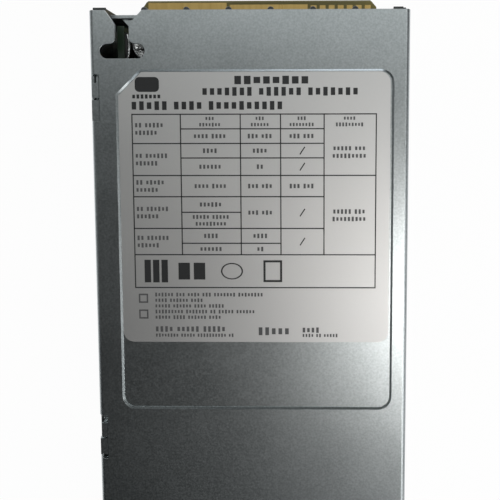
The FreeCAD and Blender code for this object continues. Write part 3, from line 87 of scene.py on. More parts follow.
MIX_FIRST, MIX_SECOND, MIX_RESULT = 6, 7, 2

Colour = tuple[float, float, float]
Pair = tuple[float, float]
Triple = tuple[float, float, float]
Shape = bmesh.types.BMesh
Vert = bmesh.types.BMVert
Edge = bmesh.types.BMEdge
Face = bmesh.types.BMFace
Group = bpy.types.ShaderNodeTree
Tree = bpy.types.NodeTree
Node = bpy.types.Node
Socket = bpy.types.NodeSocket
Link = tuple[Node, str | int, Node, str | int]


class Body(Enum):
    """The case and the latch, two of the frame's bodies."""

    CASE = "case"
    LATCH = "release_latch"


# Shader node helpers and shared groups


def rgba(colour: Colour) -> tuple[float, float, float, float]:
    """Return a colour with full alpha."""
    return (*colour, 1.0)


def set_inputs(node: Node, values: dict[str, object]) -> None:
    """Set unlinked inputs of a node.

    Args:
        node: The node.
        values: Input values by socket name, with underscores for spaces.
    """
    for name, value in values.items():
        node.inputs[name.replace("_", " ")].default_value = value


def add_node(tree: Tree, kind: str, **inputs: object) -> Node:
    """Add a shader node and set its unlinked inputs.

    Args:
        tree: The tree that gets the node.
        kind: The end of the node's type name.
        inputs: Input values by socket name, with underscores for spaces.

    Returns:
        The new node.
    """
    made = tree.nodes.new(f"ShaderNode{kind}")
    set_inputs(made, inputs)
    return made


def add_math(tree: Tree, operation: str, second: float = 0.5) -> Node:
    """Add a math node.

    Args:
        tree: The tree that gets the node.
        operation: The operation's name.
        second: The second value, where no wire brings one.

    Returns:
        The new node.
    """
    made = add_node(tree, "Math")
    made.operation = operation
    made.inputs[1].default_value = second
    return made


def add_mix(tree: Tree) -> Node:
    """Add a node that mixes two colours.

    Args:
        tree: The tree that gets the node.

    Returns:
        The new node.
    """
    made = add_node(tree, "Mix")
    made.data_type = "RGBA"
    return made


def join(tree: Tree, *links: Link) -> None:
    """Wire nodes together.

    Args:
        tree: The nodes' tree.
        links: For each wire a node, its output, the next node and that node's input.
    """
    for source, output, target, entry in links:
        tree.links.new(source.outputs[output], target.inputs[entry])


def new_group(name: str, inputs: dict[str, str], outputs: dict[str, str]) -> Group:
    """Make an empty shader node group with named sockets.

    Args:
        name: The group's name.
        inputs: Kinds of socket by input name.
        outputs: Kinds of socket by output name.

    Returns:
        The group, with its input and output nodes named Ins and Outs.
    """
    group = bpy.data.node_groups.new(name, "ShaderNodeTree")
    for side, sockets in (("INPUT", inputs), ("OUTPUT", outputs)):
        for label, kind in sockets.items():
            group.interface.new_socket(label, in_out=side, socket_type=f"NodeSocket{kind}")
    group.nodes.new("NodeGroupInput").name = "Ins"
    group.nodes.new("NodeGroupOutput").name = "Outs"
    return group


def mottle_group() -> Group:
    """Build the group that mixes two tones by soft clouds and fine speckle.

    Returns:
        The group, with Color and Mask outputs.
    """
    group = new_group(
        "Mottled tone",
        {"Vector": "Vector", "Cloud Scale": "Float", "Speck Scale": "Float", "Speck": "Float",
         "Dark": "Color", "Light": "Color"},
        {"Color": "Color", "Mask": "Float"},
    )
    ins, outs = group.nodes["Ins"], group.nodes["Outs"]
    cloud = add_node(group, "TexNoise", Detail=3.0, Roughness=0.55)
    speck = add_node(group, "TexNoise", Detail=1.0, Roughness=0.4)
    blend = add_node(group, "Mix")
    spread = add_node(group, "MapRange", From_Min=0.32, From_Max=0.68)
    tone = add_mix(group)
    join(
        group, (ins, "Vector", cloud, "Vector"), (ins, "Cloud Scale", cloud, "Scale"),
        (ins, "Vector", speck, "Vector"), (ins, "Speck Scale", speck, "Scale"),
        (ins, "Speck", blend, "Factor"), (cloud, "Fac", blend, "A"), (speck, "Fac", blend, "B"),
        (blend, "Result", spread, "Value"), (spread, "Result", tone, "Factor"),
        (ins, "Dark", tone, MIX_FIRST), (ins, "Light", tone, MIX_SECOND),
        (tone, MIX_RESULT, outs, "Color"), (spread, "Result", outs, "Mask"),
    )
    return group


def grain_group() -> Group:
    """Build the group that gives a fine grained height.

    Returns:
        The group, with a Height output.
    """
    inputs = {"Vector": "Vector", "Scale": "Float", "Pits": "Float"}
    group = new_group("Fine grain", inputs, {"Height": "Float"})
    ins, outs = group.nodes["Ins"], group.nodes["Outs"]
    noise = add_node(group, "TexNoise", Detail=2.0, Roughness=0.5)
    cells = add_node(group, "TexVoronoi")
    blend = add_node(group, "Mix")
    for texture in (noise, cells):
        join(group, (ins, "Vector", texture, "Vector"), (ins, "Scale", texture, "Scale"))
    join(
        group, (ins, "Pits", blend, "Factor"), (noise, "Fac", blend, "A"), (cells, "Distance", blend, "B"),
        (blend, "Result", outs, "Height"),
    )
    return group


def use_group(tree: Tree, group: Group, place: Socket, **inputs: object) -> Node:
    """Place a shared group in a material.

    Args:
        tree: The material's node tree.
        group: The shared group.
        place: The pattern's coordinates.
        inputs: Input values by socket name, with underscores for spaces.

    Returns:
        The group node.
    """
    used = add_node(tree, "Group")
    used.node_tree = group
    set_inputs(used, inputs)
    tree.links.new(place, used.inputs["Vector"])
    return used


MOTTLE = mottle_group()
GRAIN = grain_group()


# Finishes


@dataclass(frozen=True)
class Finish:
    """A surface with two mottled tones, a range of roughness and a fine grain.

    The scales count features per metre, and the grain's depth is in metres.
    No finish has the name of a material slot, because those materials are there from the start.
    """

    name: str
    dark: Colour
    light: Colour
    roughness: Pair
    metallic: float = 0.0
    cloud_scale: float = 60.0
    speck_scale: float = 2000.0
    speck: float = 0.5
    grain_scale: float = 2500.0
    grain_depth: float = 0.01 * MM
    grain_strength: float = 0.3
    pits: float = 0.3
    stretch: Triple = (1.0, 1.0, 1.0)
    coat: float = 0.0

    def build(self) -> bpy.types.Material:
        """Build the material, or return the one already built.

        Returns:
            The finish as a material.
        """
        ready = bpy.data.materials.get(self.name)
        if ready:
            return ready
        material = bpy.data.materials.new(self.name)
        material.use_nodes = True
        tree = material.node_tree
        surface = tree.nodes["Principled BSDF"]
        set_inputs(surface, {"Metallic": self.metallic, "Coat Weight": self.coat})
        spot = add_node(tree, "TexCoord")
        turn = add_node(tree, "Mapping", Scale=self.stretch)
        place = turn.outputs["Vector"]
        tone = use_group(
            tree, MOTTLE, place, Cloud_Scale=self.cloud_scale, Speck_Scale=self.speck_scale, Speck=self.speck,
            Dark=rgba(self.dark), Light=rgba(self.light),
        )
        gloss = add_node(tree, "MapRange", To_Min=self.roughness[0], To_Max=self.roughness[1])
        bump = add_node(tree, "Bump", Strength=self.grain_strength, Distance=self.grain_depth)
        join(
            tree, (spot, "Object", turn, "Vector"), (tone, "Mask", gloss, "Value"),
            (gloss, "Result", surface, "Roughness"), (bump, "Normal", surface, "Normal"),
        )
        tree.links.new(self.colour(tree, place, tone), surface.inputs["Base Color"])
        tree.links.new(self.height(tree, place), bump.inputs["Height"])
        self.extra(surface)
        return material

    def colour(self, tree: Tree, place: Socket, tone: Node) -> Socket:
        """Return the base colour: on a plain finish the mottled tone itself.

        Args:
            tree: The material's node tree.
            place: The pattern's coordinates.
            tone: The mottled tone group.

        Returns:
            The colour socket.
        """
        return tone.outputs["Color"]

    def height(self, tree: Tree, place: Socket) -> Socket:
        """Return the surface's height: on a plain finish the fine grain.

        Args:
            tree: The material's node tree.
            place: The pattern's coordinates.

        Returns:
            The height socket.
        """
        return use_group(tree, GRAIN, place, Scale=self.grain_scale, Pits=self.pits).outputs["Height"]

    def extra(self, surface: Node) -> None:
        """Set any further shader values: none on a plain finish."""


@dataclass(frozen=True)
class BoardFinish(Finish):
    """A laminated board: solder mask on its two faces and bare laminate on its edges and bevels."""

    laminate: Colour = (0.18, 0.145, 0.014)
    flat_from: float = 0.93
    across: str = "Z"
    bare_from: float = 1.0

    def colour(self, tree: Tree, place: Socket, tone: Node) -> Socket:
        """Mix mask and laminate by how the surface faces, with bare laminate at the card edge.

        Args:
            tree: The material's node tree.
            place: The pattern's coordinates.
            tone: The mottled tone group, which colours the mask.

        Returns:
            The colour socket.
        """
        facing = add_node(tree, "NewGeometry")
        parts, spot = add_node(tree, "SeparateXYZ"), add_node(tree, "SeparateXYZ")
        size = add_math(tree, "ABSOLUTE")
        flat = add_math(tree, "GREATER_THAN", self.flat_from)
        masked = add_math(tree, "LESS_THAN", self.bare_from)
        both = add_math(tree, "MULTIPLY")
        mix = add_mix(tree)
        mix.inputs[MIX_FIRST].default_value = rgba(self.laminate)
        tree.links.new(place, spot.inputs["Vector"])
        join(
            tree, (facing, "True Normal", parts, "Vector"), (parts, self.across, size, 0),
            (size, "Value", flat, 0), (spot, "Y", masked, 0), (flat, "Value", both, 0),
            (masked, "Value", both, 1), (both, "Value", mix, "Factor"), (tone, "Color", mix, MIX_SECOND),
        )
        return mix.outputs[MIX_RESULT]


@dataclass(frozen=True)
class WoundFinish(Finish):
    """Tape or wire laid in turns, which show as close ridges."""

    turns: float = 900.0

    def height(self, tree: Tree, place: Socket) -> Socket:
        """Return the ridges' height.

        Args:
            tree: The material's node tree.
            place: The pattern's coordinates.

        Returns:
            The height socket.
        """
        ridges = add_node(tree, "TexWave", Scale=self.turns, Distortion=0.6, Detail=1.0)
        ridges.bands_direction = "X"
        tree.links.new(place, ridges.inputs["Vector"])
        return ridges.outputs["Fac"]


@dataclass(frozen=True)
class ClearFinish(Finish):
    """A milky moulding that passes some light."""

    clearness: float = 0.4
    bend: float = 1.49

    def extra(self, surface: Node) -> None:
        """Let light through the surface."""
        set_inputs(surface, {"Transmission Weight": self.clearness, "IOR": self.bend})


ZINC_STEEL = Finish(
    "zinc_sheet", (0.360, 0.392, 0.400), (0.470, 0.506, 0.515), (0.324, 0.361), 1.0, cloud_scale=70.0,
    speck_scale=2300.0, speck=0.72, grain_scale=2300.0, grain_depth=0.012 * MM, grain_strength=0.2,
)
# Painted shade: a dark steel tone that stands in for the dark reflections and shade on the rear crests, tab
# edges and rib ends.
PAINTED_SHADE_EDGE = Finish(
    "painted_shade_edge", (0.075, 0.079, 0.078), (0.115, 0.120, 0.118), (0.42, 0.52), 1.0, speck_scale=2600.0,
    grain_scale=2600.0,
)
INK = Finish(
    "black_ink", (0.010, 0.011, 0.012), (0.016, 0.017, 0.018), (0.45, 0.6), speck_scale=4000.0,
    grain_scale=5000.0, grain_depth=0.004 * MM,
)
GREY_INK = Finish(
    "fine_print_ink", (0.070, 0.071, 0.073), (0.090, 0.091, 0.093), (0.45, 0.6), speck_scale=4000.0,
    grain_scale=5000.0, grain_depth=0.004 * MM,
)
SCREW_STEEL = Finish(
    "bright_screw", (0.50, 0.50, 0.48), (0.64, 0.63, 0.60), (0.24, 0.36), 1.0, grain_scale=3500.0,
    stretch=(1.0, 1.0, 6.0),
)
ALUMINIUM = Finish(
    "drawn_aluminium", (0.70, 0.71, 0.72), (0.82, 0.83, 0.84), (0.22, 0.36), 1.0, stretch=(1.0, 1.0, 0.08),
    grain_scale=2600.0,
)
CAN_TOP = Finish(
    "crinkled_can", (0.66, 0.67, 0.67), (0.86, 0.87, 0.87), (0.14, 0.30), 1.0, cloud_scale=500.0,
    speck_scale=1500.0, grain_scale=650.0, grain_depth=0.25 * MM, grain_strength=0.7, pits=0.1,
)
DEVICE_RESIN = Finish(
    "moulded_resin", (0.012, 0.012, 0.013), (0.022, 0.022, 0.023), (0.42, 0.6), speck_scale=3500.0,
    grain_depth=0.02 * MM,
)
UPRIGHT_BOARD = BoardFinish(
    "control_card", (0.008, 0.030, 0.013), (0.014, 0.046, 0.020), (0.28, 0.40), speck_scale=900.0,
    grain_scale=1400.0, laminate=(0.012, 0.026, 0.014), across="X",
)
SLOT_FINISHES: dict[str, Finish] = {
    "zinc_steel": ZINC_STEEL,
    "screw_steel": SCREW_STEEL,
    "bare_aluminium": ALUMINIUM,
    "device_resin": DEVICE_RESIN,
    "label_film": Finish(
        "silver_film", (0.592, 0.594, 0.592), (0.618, 0.619, 0.611), (0.48, 0.515), 1.0, cloud_scale=30.0,
        speck_scale=2500.0, speck=0.3, grain_scale=3000.0, grain_depth=0.004 * MM, grain_strength=0.1,
    ),
    "black_plastic": Finish(
        "black_moulding", (0.010, 0.0105, 0.011), (0.019, 0.0195, 0.020), (0.40, 0.58), cloud_scale=90.0,
        speck_scale=3000.0, grain_scale=4200.0, grain_depth=0.03 * MM, grain_strength=0.35, pits=0.6,
    ),
    "circuit_board": BoardFinish(
        "power_board", (0.016, 0.055, 0.020), (0.026, 0.080, 0.030), (0.28, 0.40), speck_scale=900.0,
        grain_scale=1400.0, bare_from=90.5 * MM,
    ),
    "gold_plate": Finish(
        "gold_contact", (0.37, 0.256, 0.086), (0.51, 0.363, 0.137), (0.26, 0.38), 1.0, cloud_scale=180.0,
        speck_scale=900.0, stretch=(1.0, 0.12, 1.0), grain_scale=1600.0,
    ),
    "winding_tape": WoundFinish(
        "yellow_tape", (0.62, 0.40, 0.04), (0.72, 0.50, 0.07), (0.30, 0.42), grain_depth=0.05 * MM,
    ),
    "ferrite": Finish(
        "pressed_ferrite", (0.020, 0.020, 0.021), (0.040, 0.040, 0.042), (0.45, 0.62), 0.2,
        speck_scale=2600.0, grain_scale=3000.0, grain_depth=0.03 * MM,
    ),
    "can_sleeve": Finish(
        "shrunk_sleeve", (0.008, 0.010, 0.022), (0.014, 0.017, 0.034), (0.20, 0.32), coat=0.4,
    ),
    "capacitor_resin": Finish("capacitor_case", (0.50, 0.34, 0.05), (0.58, 0.41, 0.08), (0.34, 0.48)),
    "tinned_copper": Finish(
        "bright_tin", (0.60, 0.59, 0.56), (0.76, 0.75, 0.71), (0.24, 0.38), 1.0, speck_scale=1200.0,
    ),
    "insulating_film": Finish("milky_film", (0.55, 0.55, 0.52), (0.64, 0.64, 0.60), (0.35, 0.5), coat=0.2),
    "cable_jacket": Finish("lead_jacket", (0.016, 0.016, 0.017), (0.028, 0.028, 0.029), (0.40, 0.52)),
    "light_pipe": ClearFinish("clear_pipe", (0.74, 0.80, 0.77), (0.82, 0.88, 0.85), (0.10, 0.2)),
}
NODE_FINISHES: dict[str, Finish] = {"control_board": UPRIGHT_BOARD}
SLOTS: dict[str, str] = {
    name: node.material_slots[0].material.name for name, node in frame["nodes"].items()
}
BODIES: dict[str, str] = {name: node["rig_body"] for name, node in frame["nodes"].items()}


def finish_of(node: str) -> Finish:
    """Return the finish of a CAD node, by its own name or else by its material slot."""
    return NODE_FINISHES.get(node) or SLOT_FINISHES[SLOTS[node]]


# Mesh helpers


def new_piece(
    name: str, shape: Shape, finish: Finish, node: str, smooth_to: float = 35.0, bent: bool = False
) -> bpy.types.Object:
    """Turn a shape into a dressed piece that goes with a CAD node.

    Args:
        name: The piece's name.
        shape: The bmesh, which is freed.
        finish: The piece's finish.
        node: The CAD node whose body it rides on.
        smooth_to: Edges that turn by less than this many degrees are shaded smooth.
        bent: Whether the piece is left unattached to any body.

    Returns:
        The piece.
    """
    for face in shape.faces:
        face.smooth = True
    for edge in shape.edges:
        edge.smooth = len(edge.link_faces) != 2 or edge.calc_face_angle() < math.radians(smooth_to)
    mesh = bpy.data.meshes.new(name)
    shape.to_mesh(mesh)
    shape.free()
    loaded_normals = mesh.attributes.get("custom_normal")
    if loaded_normals:
        mesh.attributes.remove(loaded_normals)
    mesh.materials.append(finish.build())
    piece = bpy.data.objects.new(name, mesh)
    bpy.context.scene.collection.objects.link(piece)
    if not bent:
        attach(piece, BODIES[node])
    LOG.info("%s: %d faces", name, len(mesh.polygons))
    return piece


def node_shape(node: str) -> Shape:
    """Return a copy of a CAD node's mesh with its flat faces joined.

    Args:
        node: The CAD node's name.

    Returns:
        The bmesh.
    """
    shape = bmesh.new()
    shape.from_mesh(frame["nodes"][node].data)
    bmesh.ops.remove_doubles(shape, verts=shape.verts, dist=MERGED)
    bmesh.ops.dissolve_limit(shape, angle_limit=NEAR_FLAT, verts=list(shape.verts), edges=list(shape.edges))
    return shape


def add_block(shape: Shape, low: Vector, high: Vector) -> list[Vert]:
    """Add a block between two corners.

    Args:
        shape: The bmesh that gets the block.
        low: The lowest corner.
        high: The highest corner.

    Returns:
        The block's vertices.
    """
    spot = Matrix.Translation((low + high) / 2.0) @ Matrix.Diagonal((*(high - low), 1.0))
    return bmesh.ops.create_cube(shape, size=1.0, matrix=spot)["verts"]


def add_turned(shape: Shape, profile: list[Pair], steps: int, spot: Matrix) -> None:
    """Add a turned form: a profile spun about the local Z axis.

    Args:
        shape: The bmesh that gets the form.
        profile: Radius and height of each point, from the axis round to the axis.
        steps: The number of steps in the full turn.
        spot: The form's place.
    """
    before = set(shape.verts)
    points = [shape.verts.new((radius, 0.0, height)) for radius, height in profile]
    edges = [shape.edges.new(pair) for pair in zip(points, points[1:])]
    bmesh.ops.spin(
        shape, geom=points + edges, cent=(0.0, 0.0, 0.0), axis=(0.0, 0.0, 1.0), angle=FULL_TURN,
        steps=steps, use_merge=True,
    )
    made = [vert for vert in shape.verts if vert not in before]
    bmesh.ops.remove_doubles(shape, verts=made, dist=WELDED)
    made = [vert for vert in shape.verts if vert not in before]
    faces = list({face for vert in made for face in vert.link_faces})
    bmesh.ops.recalc_face_normals(shape, faces=faces)
    bmesh.ops.transform(shape, matrix=spot, verts=made)


def sharp_edges(shape: Shape, corner: float) -> list[Edge]:
    """Return the outer edges that turn by more than a number of degrees.

    Args:
        shape: The bmesh.
        corner: The angle in degrees.

    Returns:
        The edges.
    """
    return [
        edge for edge in shape.edges
        if len(edge.link_faces) == 2 and edge.is_convex and edge.calc_face_angle() > math.radians(corner)
    ]


def round_edges(shape: Shape, edges: list[Edge], radius: float, segments: int) -> None:
    """Round edges of a shape.

    Args:
        shape: The bmesh.
        edges: The edges.
        radius: The width of the rounding.
        segments: The number of steps across it.
    """
    bmesh.ops.bevel(
        shape, geom=edges, offset=radius, offset_type="OFFSET", segments=segments, profile=0.5,
        affect="EDGES", clamp_overlap=False, material=-1,
    )


def flat_island(start: Face) -> tuple[list[Face], list[Edge]]:
    """Gather the faces that lie flat beside a face, and the seams between them.

    Args:
        start: The first face.

    Returns:
        The faces and the seams.
    """
    faces, seams = [start], {}
    for face in faces:
        for edge in face.edges:
            if len(edge.link_faces) == 2 and edge.calc_face_angle() < FLAT_TURN:
                seams[edge] = True
                faces.extend(other for other in edge.link_faces if other not in faces)
    return faces, list(seams)


def refill_flats(shape: Shape) -> None:
    """Fill the flat faces anew from their outlines, because rounding can push a hole across an old seam.

    Args:
        shape: The bmesh.
    """
    for start in list(shape.faces):
        if not start.is_valid or len(start.verts) <= 4:
            continue
        facing = start.normal.copy()
        faces, seams = flat_island(start)
        borders = dict.fromkeys(edge for face in faces for edge in face.edges)
        rim = [edge for edge in borders if edge not in seams]
        bmesh.ops.delete(shape, geom=faces, context="FACES_ONLY")
        bmesh.ops.delete(shape, geom=seams, context="EDGES")
        made = bmesh.ops.triangle_fill(shape, use_beauty=True, edges=rim, normal=facing)["geom"]
        turned = [part for part in made if isinstance(part, Face) and part.normal.dot(facing) < 0.0]
        bmesh.ops.reverse_faces(shape, faces=turned)


def softened(
    node: str, radius: float, segments: int = 2, corner: float = 28.0, smooth_to: float = 50.0,
    crest: tuple[Vector, float] | None = None, keep: Callable[[Vector], bool] = lambda spot: False,
    refill: bool = False,
) -> bpy.types.Object:
    """Replace a CAD node by a copy whose sharp outer edges are slightly rounded.

    Args:
        node: The CAD node's name.
        radius: The width of the rounding.
        segments: The number of steps across it.
        corner: Edges that turn by more than this many degrees are rounded.
        smooth_to: Edges that turn by less than this many degrees are shaded smooth.
        crest: A low corner and a width: edges wholly above that corner are rounded by that width first.
        keep: A test for places on a hidden face, whose edges stay sharp.
        refill: Whether the flat faces are filled anew, where rounded holes stand close together.

    Returns:
        The piece that stands for the node.
    """
    shape = node_shape(node)
    if crest:
        low, width = crest
        high = [
            edge for edge in sharp_edges(shape, corner)
            if all(vert.co.y > low.y and vert.co.z > low.z for vert in edge.verts)
        ]
        round_edges(shape, high, width, CREST_STEPS)
    edges = [edge for edge in sharp_edges(shape, corner) if not all(keep(vert.co) for vert in edge.verts)]
    round_edges(shape, edges, radius, segments)
    if refill:
        refill_flats(shape)
    piece = new_piece(f"{node}_finished", shape, finish_of(node), node, smooth_to)
    weigh = piece.modifiers.new("flat faces stay flat", "WEIGHTED_NORMAL")
    weigh.keep_sharp = True
    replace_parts(piece, node)
    return piece


def redress(piece: bpy.types.Object, finish: Finish, *boxes: tuple[Vector, Vector]) -> None:
    """Give the faces of a piece that lie within a box a second finish.

    Args:
        piece: The piece.
        finish: The second finish.
        boxes: The lowest and the highest corner of each box.
    """
    mesh = piece.data
    mesh.materials.append(finish.build())
    for face in mesh.polygons:
        for low, high in boxes:
            if all(least < place < most for least, place, most in zip(low, face.center, high)):
                face.material_index = len(mesh.materials) - 1


# Sub-assemblies


@dataclass
class SheetCase:
    """The folded case, whose punched edges are slightly rounded and whose rear crests carry painted shade."""

    sheet: float = 0.8 * MM
    edge: float = 0.09 * MM
    thin_edge: float = 0.04 * MM
    crest: float = 0.45 * MM
    tab_crest: Triple = (0.0, 0.1 * MM, 1.3 * MM)
    wall_crest: Triple = (0.0, 0.8 * MM, 0.7 * MM)
    edge_depth: float = 1.0 * MM
    tab_foot: float = 36.0 * MM
    lip_half: float = 33.3 * MM
    lip_foot: float = 8.0 * MM
    corner_foot: float = 34.1 * MM
    corner_right: float = -32.9 * MM
    hook_tops: tuple[tuple[float, float, float, float], ...] = (
        (-36.30, -34.74, 72.00, 75.45), (-36.30, -35.72, 75.45, 76.85), (-35.30, -34.74, 75.45, 76.85),
        (-36.40, -34.74, 66.72, 71.50), (-36.05, -34.74, -8.95, -5.45), (-36.45, -34.74, -13.20, -9.25),
    )
    hook_level: float = 38.97 * MM
    hook_thick: float = 0.5 * MM
    tab_edges: tuple[Triple, ...] = ((-36.05, -33.15, 92.36), (33.0, 35.2, 92.33))
    tab_level: float = 37.45 * MM
    tab_radius: float = 0.36 * MM
    tab_steps: int = 20
    rib_places: tuple[float, ...] = (-24.25, -14.55, -4.85, 4.85, 14.55, 24.25)
    rib_middle: float = 92.1 * MM
    rib_radius: float = 0.75 * MM
    rib_span: Pair = (35.5 * MM, 37.45 * MM)
    rib_steps: int = 24
    dome_steps: int = 6
    gusset: tuple[Pair, ...] = ((-30.8 * MM, 90.95 * MM), (-28.0 * MM, 90.95 * MM), (-28.0 * MM, 87.9 * MM))
    gusset_level: float = 33.2 * MM

    def build(self) -> None:
        """Round the edges of the sheet metal, most of all the tops of the tabs and ribs at the rear, and
        paint shade onto the rear crests.
        """
        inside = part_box("top_cover")[1].z - self.sheet
        softened(
            "top_cover", self.edge, segments=3, corner=50.0, smooth_to=44.0,
            keep=lambda spot: abs(spot.z - inside) < NEAR,
        )
        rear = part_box("base_tray")[1]
        tray = softened("base_tray", self.edge, crest=(rear - Vector(self.tab_crest), self.crest))
        front = rear.y - self.edge_depth
        # Painted shade on the tray's rear tab tops and lip, in place of their dark reflections.
        redress(
            tray, PAINTED_SHADE_EDGE, (Vector((-rear.x, front, self.tab_foot)), rear),
            (Vector((-self.lip_half, front, self.lip_foot)), Vector((self.lip_half, rear.y, rear.z))),
        )
        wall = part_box("rear_panel")[1]
        panel = softened("rear_panel", self.thin_edge, crest=(wall - Vector(self.wall_crest), self.crest))
        corner = Vector((self.corner_right, wall.y, rear.z))
        # Painted shade on the rear wall's left notch and crest, in place of their dark reflections.
        redress(panel, PAINTED_SHADE_EDGE, (Vector((-wall.x, 0.0, self.corner_foot)), corner))
        softened("latch_lever", self.edge)
        softened("front_panel", self.thin_edge, segments=1, refill=True)
        self.add_hook_tops()
        self.add_tab_edges()
        self.add_rib_ends()
        self.add_gusset()

    def add_hook_tops(self) -> None:
        """Add the bent tops of the tray's hooks, which fill the cover's slots nearly flush."""
        shape = bmesh.new()
        for left, right, front, rear in self.hook_tops:
            low = Vector((left * MM, front * MM, self.hook_level - self.hook_thick))
            add_block(shape, low, Vector((right * MM, rear * MM, self.hook_level)))
        new_piece("hook_tops", shape, ZINC_STEEL, "base_tray")

    def add_tab_edges(self) -> None:
        """Add the rolled top edges of the tray's end tabs, which show beyond the cover, in painted shade."""
        shape = bmesh.new()
        for left, right, middle in self.tab_edges:
            spot = Matrix.Translation(((left + right) / 2.0 * MM, middle * MM, self.tab_level))
            bmesh.ops.create_cone(
                shape, cap_ends=True, segments=self.tab_steps,
                radius1=self.tab_radius, radius2=self.tab_radius, depth=(right - left) * MM,
                matrix=spot @ Matrix.Rotation(QUARTER, 4, "Y"),
            )
        new_piece("tab_edges", shape, PAINTED_SHADE_EDGE, "base_tray")

    def add_rib_ends(self) -> None:
        """Add the domed ends of the rear wall's ribs, which show beyond the cover, in painted shade."""
        shape = bmesh.new()
        foot, shoulder = self.rib_span
        turns = [QUARTER * step / self.dome_steps for step in range(self.dome_steps + 1)]
        dome = [
            (self.rib_radius * math.sin(turn), shoulder + self.rib_radius * math.cos(turn)) for turn in turns
        ]
        for place in self.rib_places:
            spot = Matrix.Translation((place * MM, self.rib_middle, 0.0))
            add_turned(shape, dome + [(self.rib_radius, foot), (0.0, foot)], self.rib_steps, spot)
        new_piece("rib_ends", shape, PAINTED_SHADE_EDGE, "rear_panel", smooth_to=40.0)

    def add_gusset(self) -> None:
        """Add the small gusset inside the rear wall, which shows through the key slot."""
        shape = bmesh.new()
        sheet = shape.faces.new([shape.verts.new((*corner, self.gusset_level)) for corner in self.gusset])
        grown = bmesh.ops.extrude_face_region(shape, geom=[sheet])["geom"]
        lower = [part for part in grown if isinstance(part, Vert)]
        bmesh.ops.translate(shape, vec=(0.0, 0.0, -self.hook_thick), verts=lower)
        bmesh.ops.recalc_face_normals(shape, faces=shape.faces)
        new_piece("wall_gusset", shape, ZINC_STEEL, "rear_panel")


@dataclass
class Mouldings:
    """The plastic pieces, with moulded edges."""

    handle_edge: float = 0.45 * MM
    edge: float = 0.2 * MM
    blade_edge: float = 0.12 * MM

    def build(self) -> None:
        """Round the edges of the mouldings."""
        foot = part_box("front_panel")[0].y
        softened("handle", self.handle_edge, segments=3, keep=lambda spot: abs(spot.y - foot) < NEAR)
        softened("ac_inlet", self.edge)
        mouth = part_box("latch_grip")[1].y
        softened("latch_grip", self.edge, keep=lambda spot: abs(spot.y - mouth) < NEAR)
        softened("fan_frame", self.edge)
        softened("fan_impeller", self.blade_edge)
        softened("inlet_pins", self.edge)
        softened("status_light", self.edge)


@dataclass
class LatchSpring:
    """The leaf spring, cut into pieces along its length and left unattached to any body."""

    pieces: int = 6

    def build(self) -> None:
        """Build the spring in place of the plain solid."""
        node = "latch_spring"
        shape = node_shape(node)
        long_edges = [edge for edge in shape.edges if abs(edge.verts[0].co.x - edge.verts[1].co.x) > NEAR]
        bmesh.ops.subdivide_edges(shape, edges=long_edges, cuts=self.pieces - 1, use_grid_fill=True)
        piece = new_piece(f"{node}_finished", shape, SCREW_STEEL, node, bent=True)
        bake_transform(piece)
        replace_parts(piece, node)


@dataclass
class OutputCans:
    """The bare cans beside the card edge, with a grooved foot, a rolled rim and a crinkled top."""

    foot: float = 2.4 * MM
    groove: float = 0.45 * MM
    rim: float = 0.5 * MM
    rim_aside: float = 0.07 * MM
    rim_drop: float = 0.075 * MM
    sink: float = 0.25 * MM
    skin: float = 0.05 * MM
    steps: int = 48

    def build(self) -> None:
        """Build the cans in place of the plain solids."""
        node = "output_capacitors"
        low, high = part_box(node)
        radius, middle = (high.y - low.y) / 2.0, (high.y + low.y) / 2.0
        cans, tops = bmesh.new(), bmesh.new()
        for centre in (low.x + radius, high.x - radius):
            spot = Matrix.Translation((centre, middle, 0.0))
            add_turned(cans, self.can_profile(radius, low.z, high.z), self.steps, spot)
            add_turned(tops, self.top_profile(radius, high.z), self.steps, spot)
        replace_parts(new_piece("output_cans", cans, ALUMINIUM, node), node)
        new_piece("can_tops", tops, CAN_TOP, node)

    def can_profile(self, radius: float, base: float, top: float) -> list[Pair]:
        """Return a can's outline from its foot to the inside of its rolled rim.

        Args:
            radius: The can's radius.
            base: The height of its foot.
            top: The height of its rim.

        Returns:
            Radius and height of each point.
        """
        neck, lip, half = radius - self.groove, radius - self.rim, self.rim / 2.0
        foot, turn = base + self.foot, top - self.rim_drop
        return [
            (0.0, base), (neck, base), (radius, base + self.groove), (radius, foot - self.groove),
            (neck, foot), (radius, foot + self.groove), (radius, top - half), (radius - self.rim_aside, turn),
            (radius - half, top), (lip + self.rim_aside, turn), (lip, top - self.sink),
            (0.0, top - self.sink),
        ]

    def top_profile(self, radius: float, top: float) -> list[Pair]:
        """Return the outline of the thin crinkled top inside the rim.

        Args:
            radius: The can's radius.
            top: The height of its rim.

        Returns:
            Radius and height of each point.
        """
        edge, level = radius - self.rim, top - self.sink
        under, over = level - self.skin, level + self.skin
        return [(0.0, under), (edge, under), (edge, over), (0.0, over)]


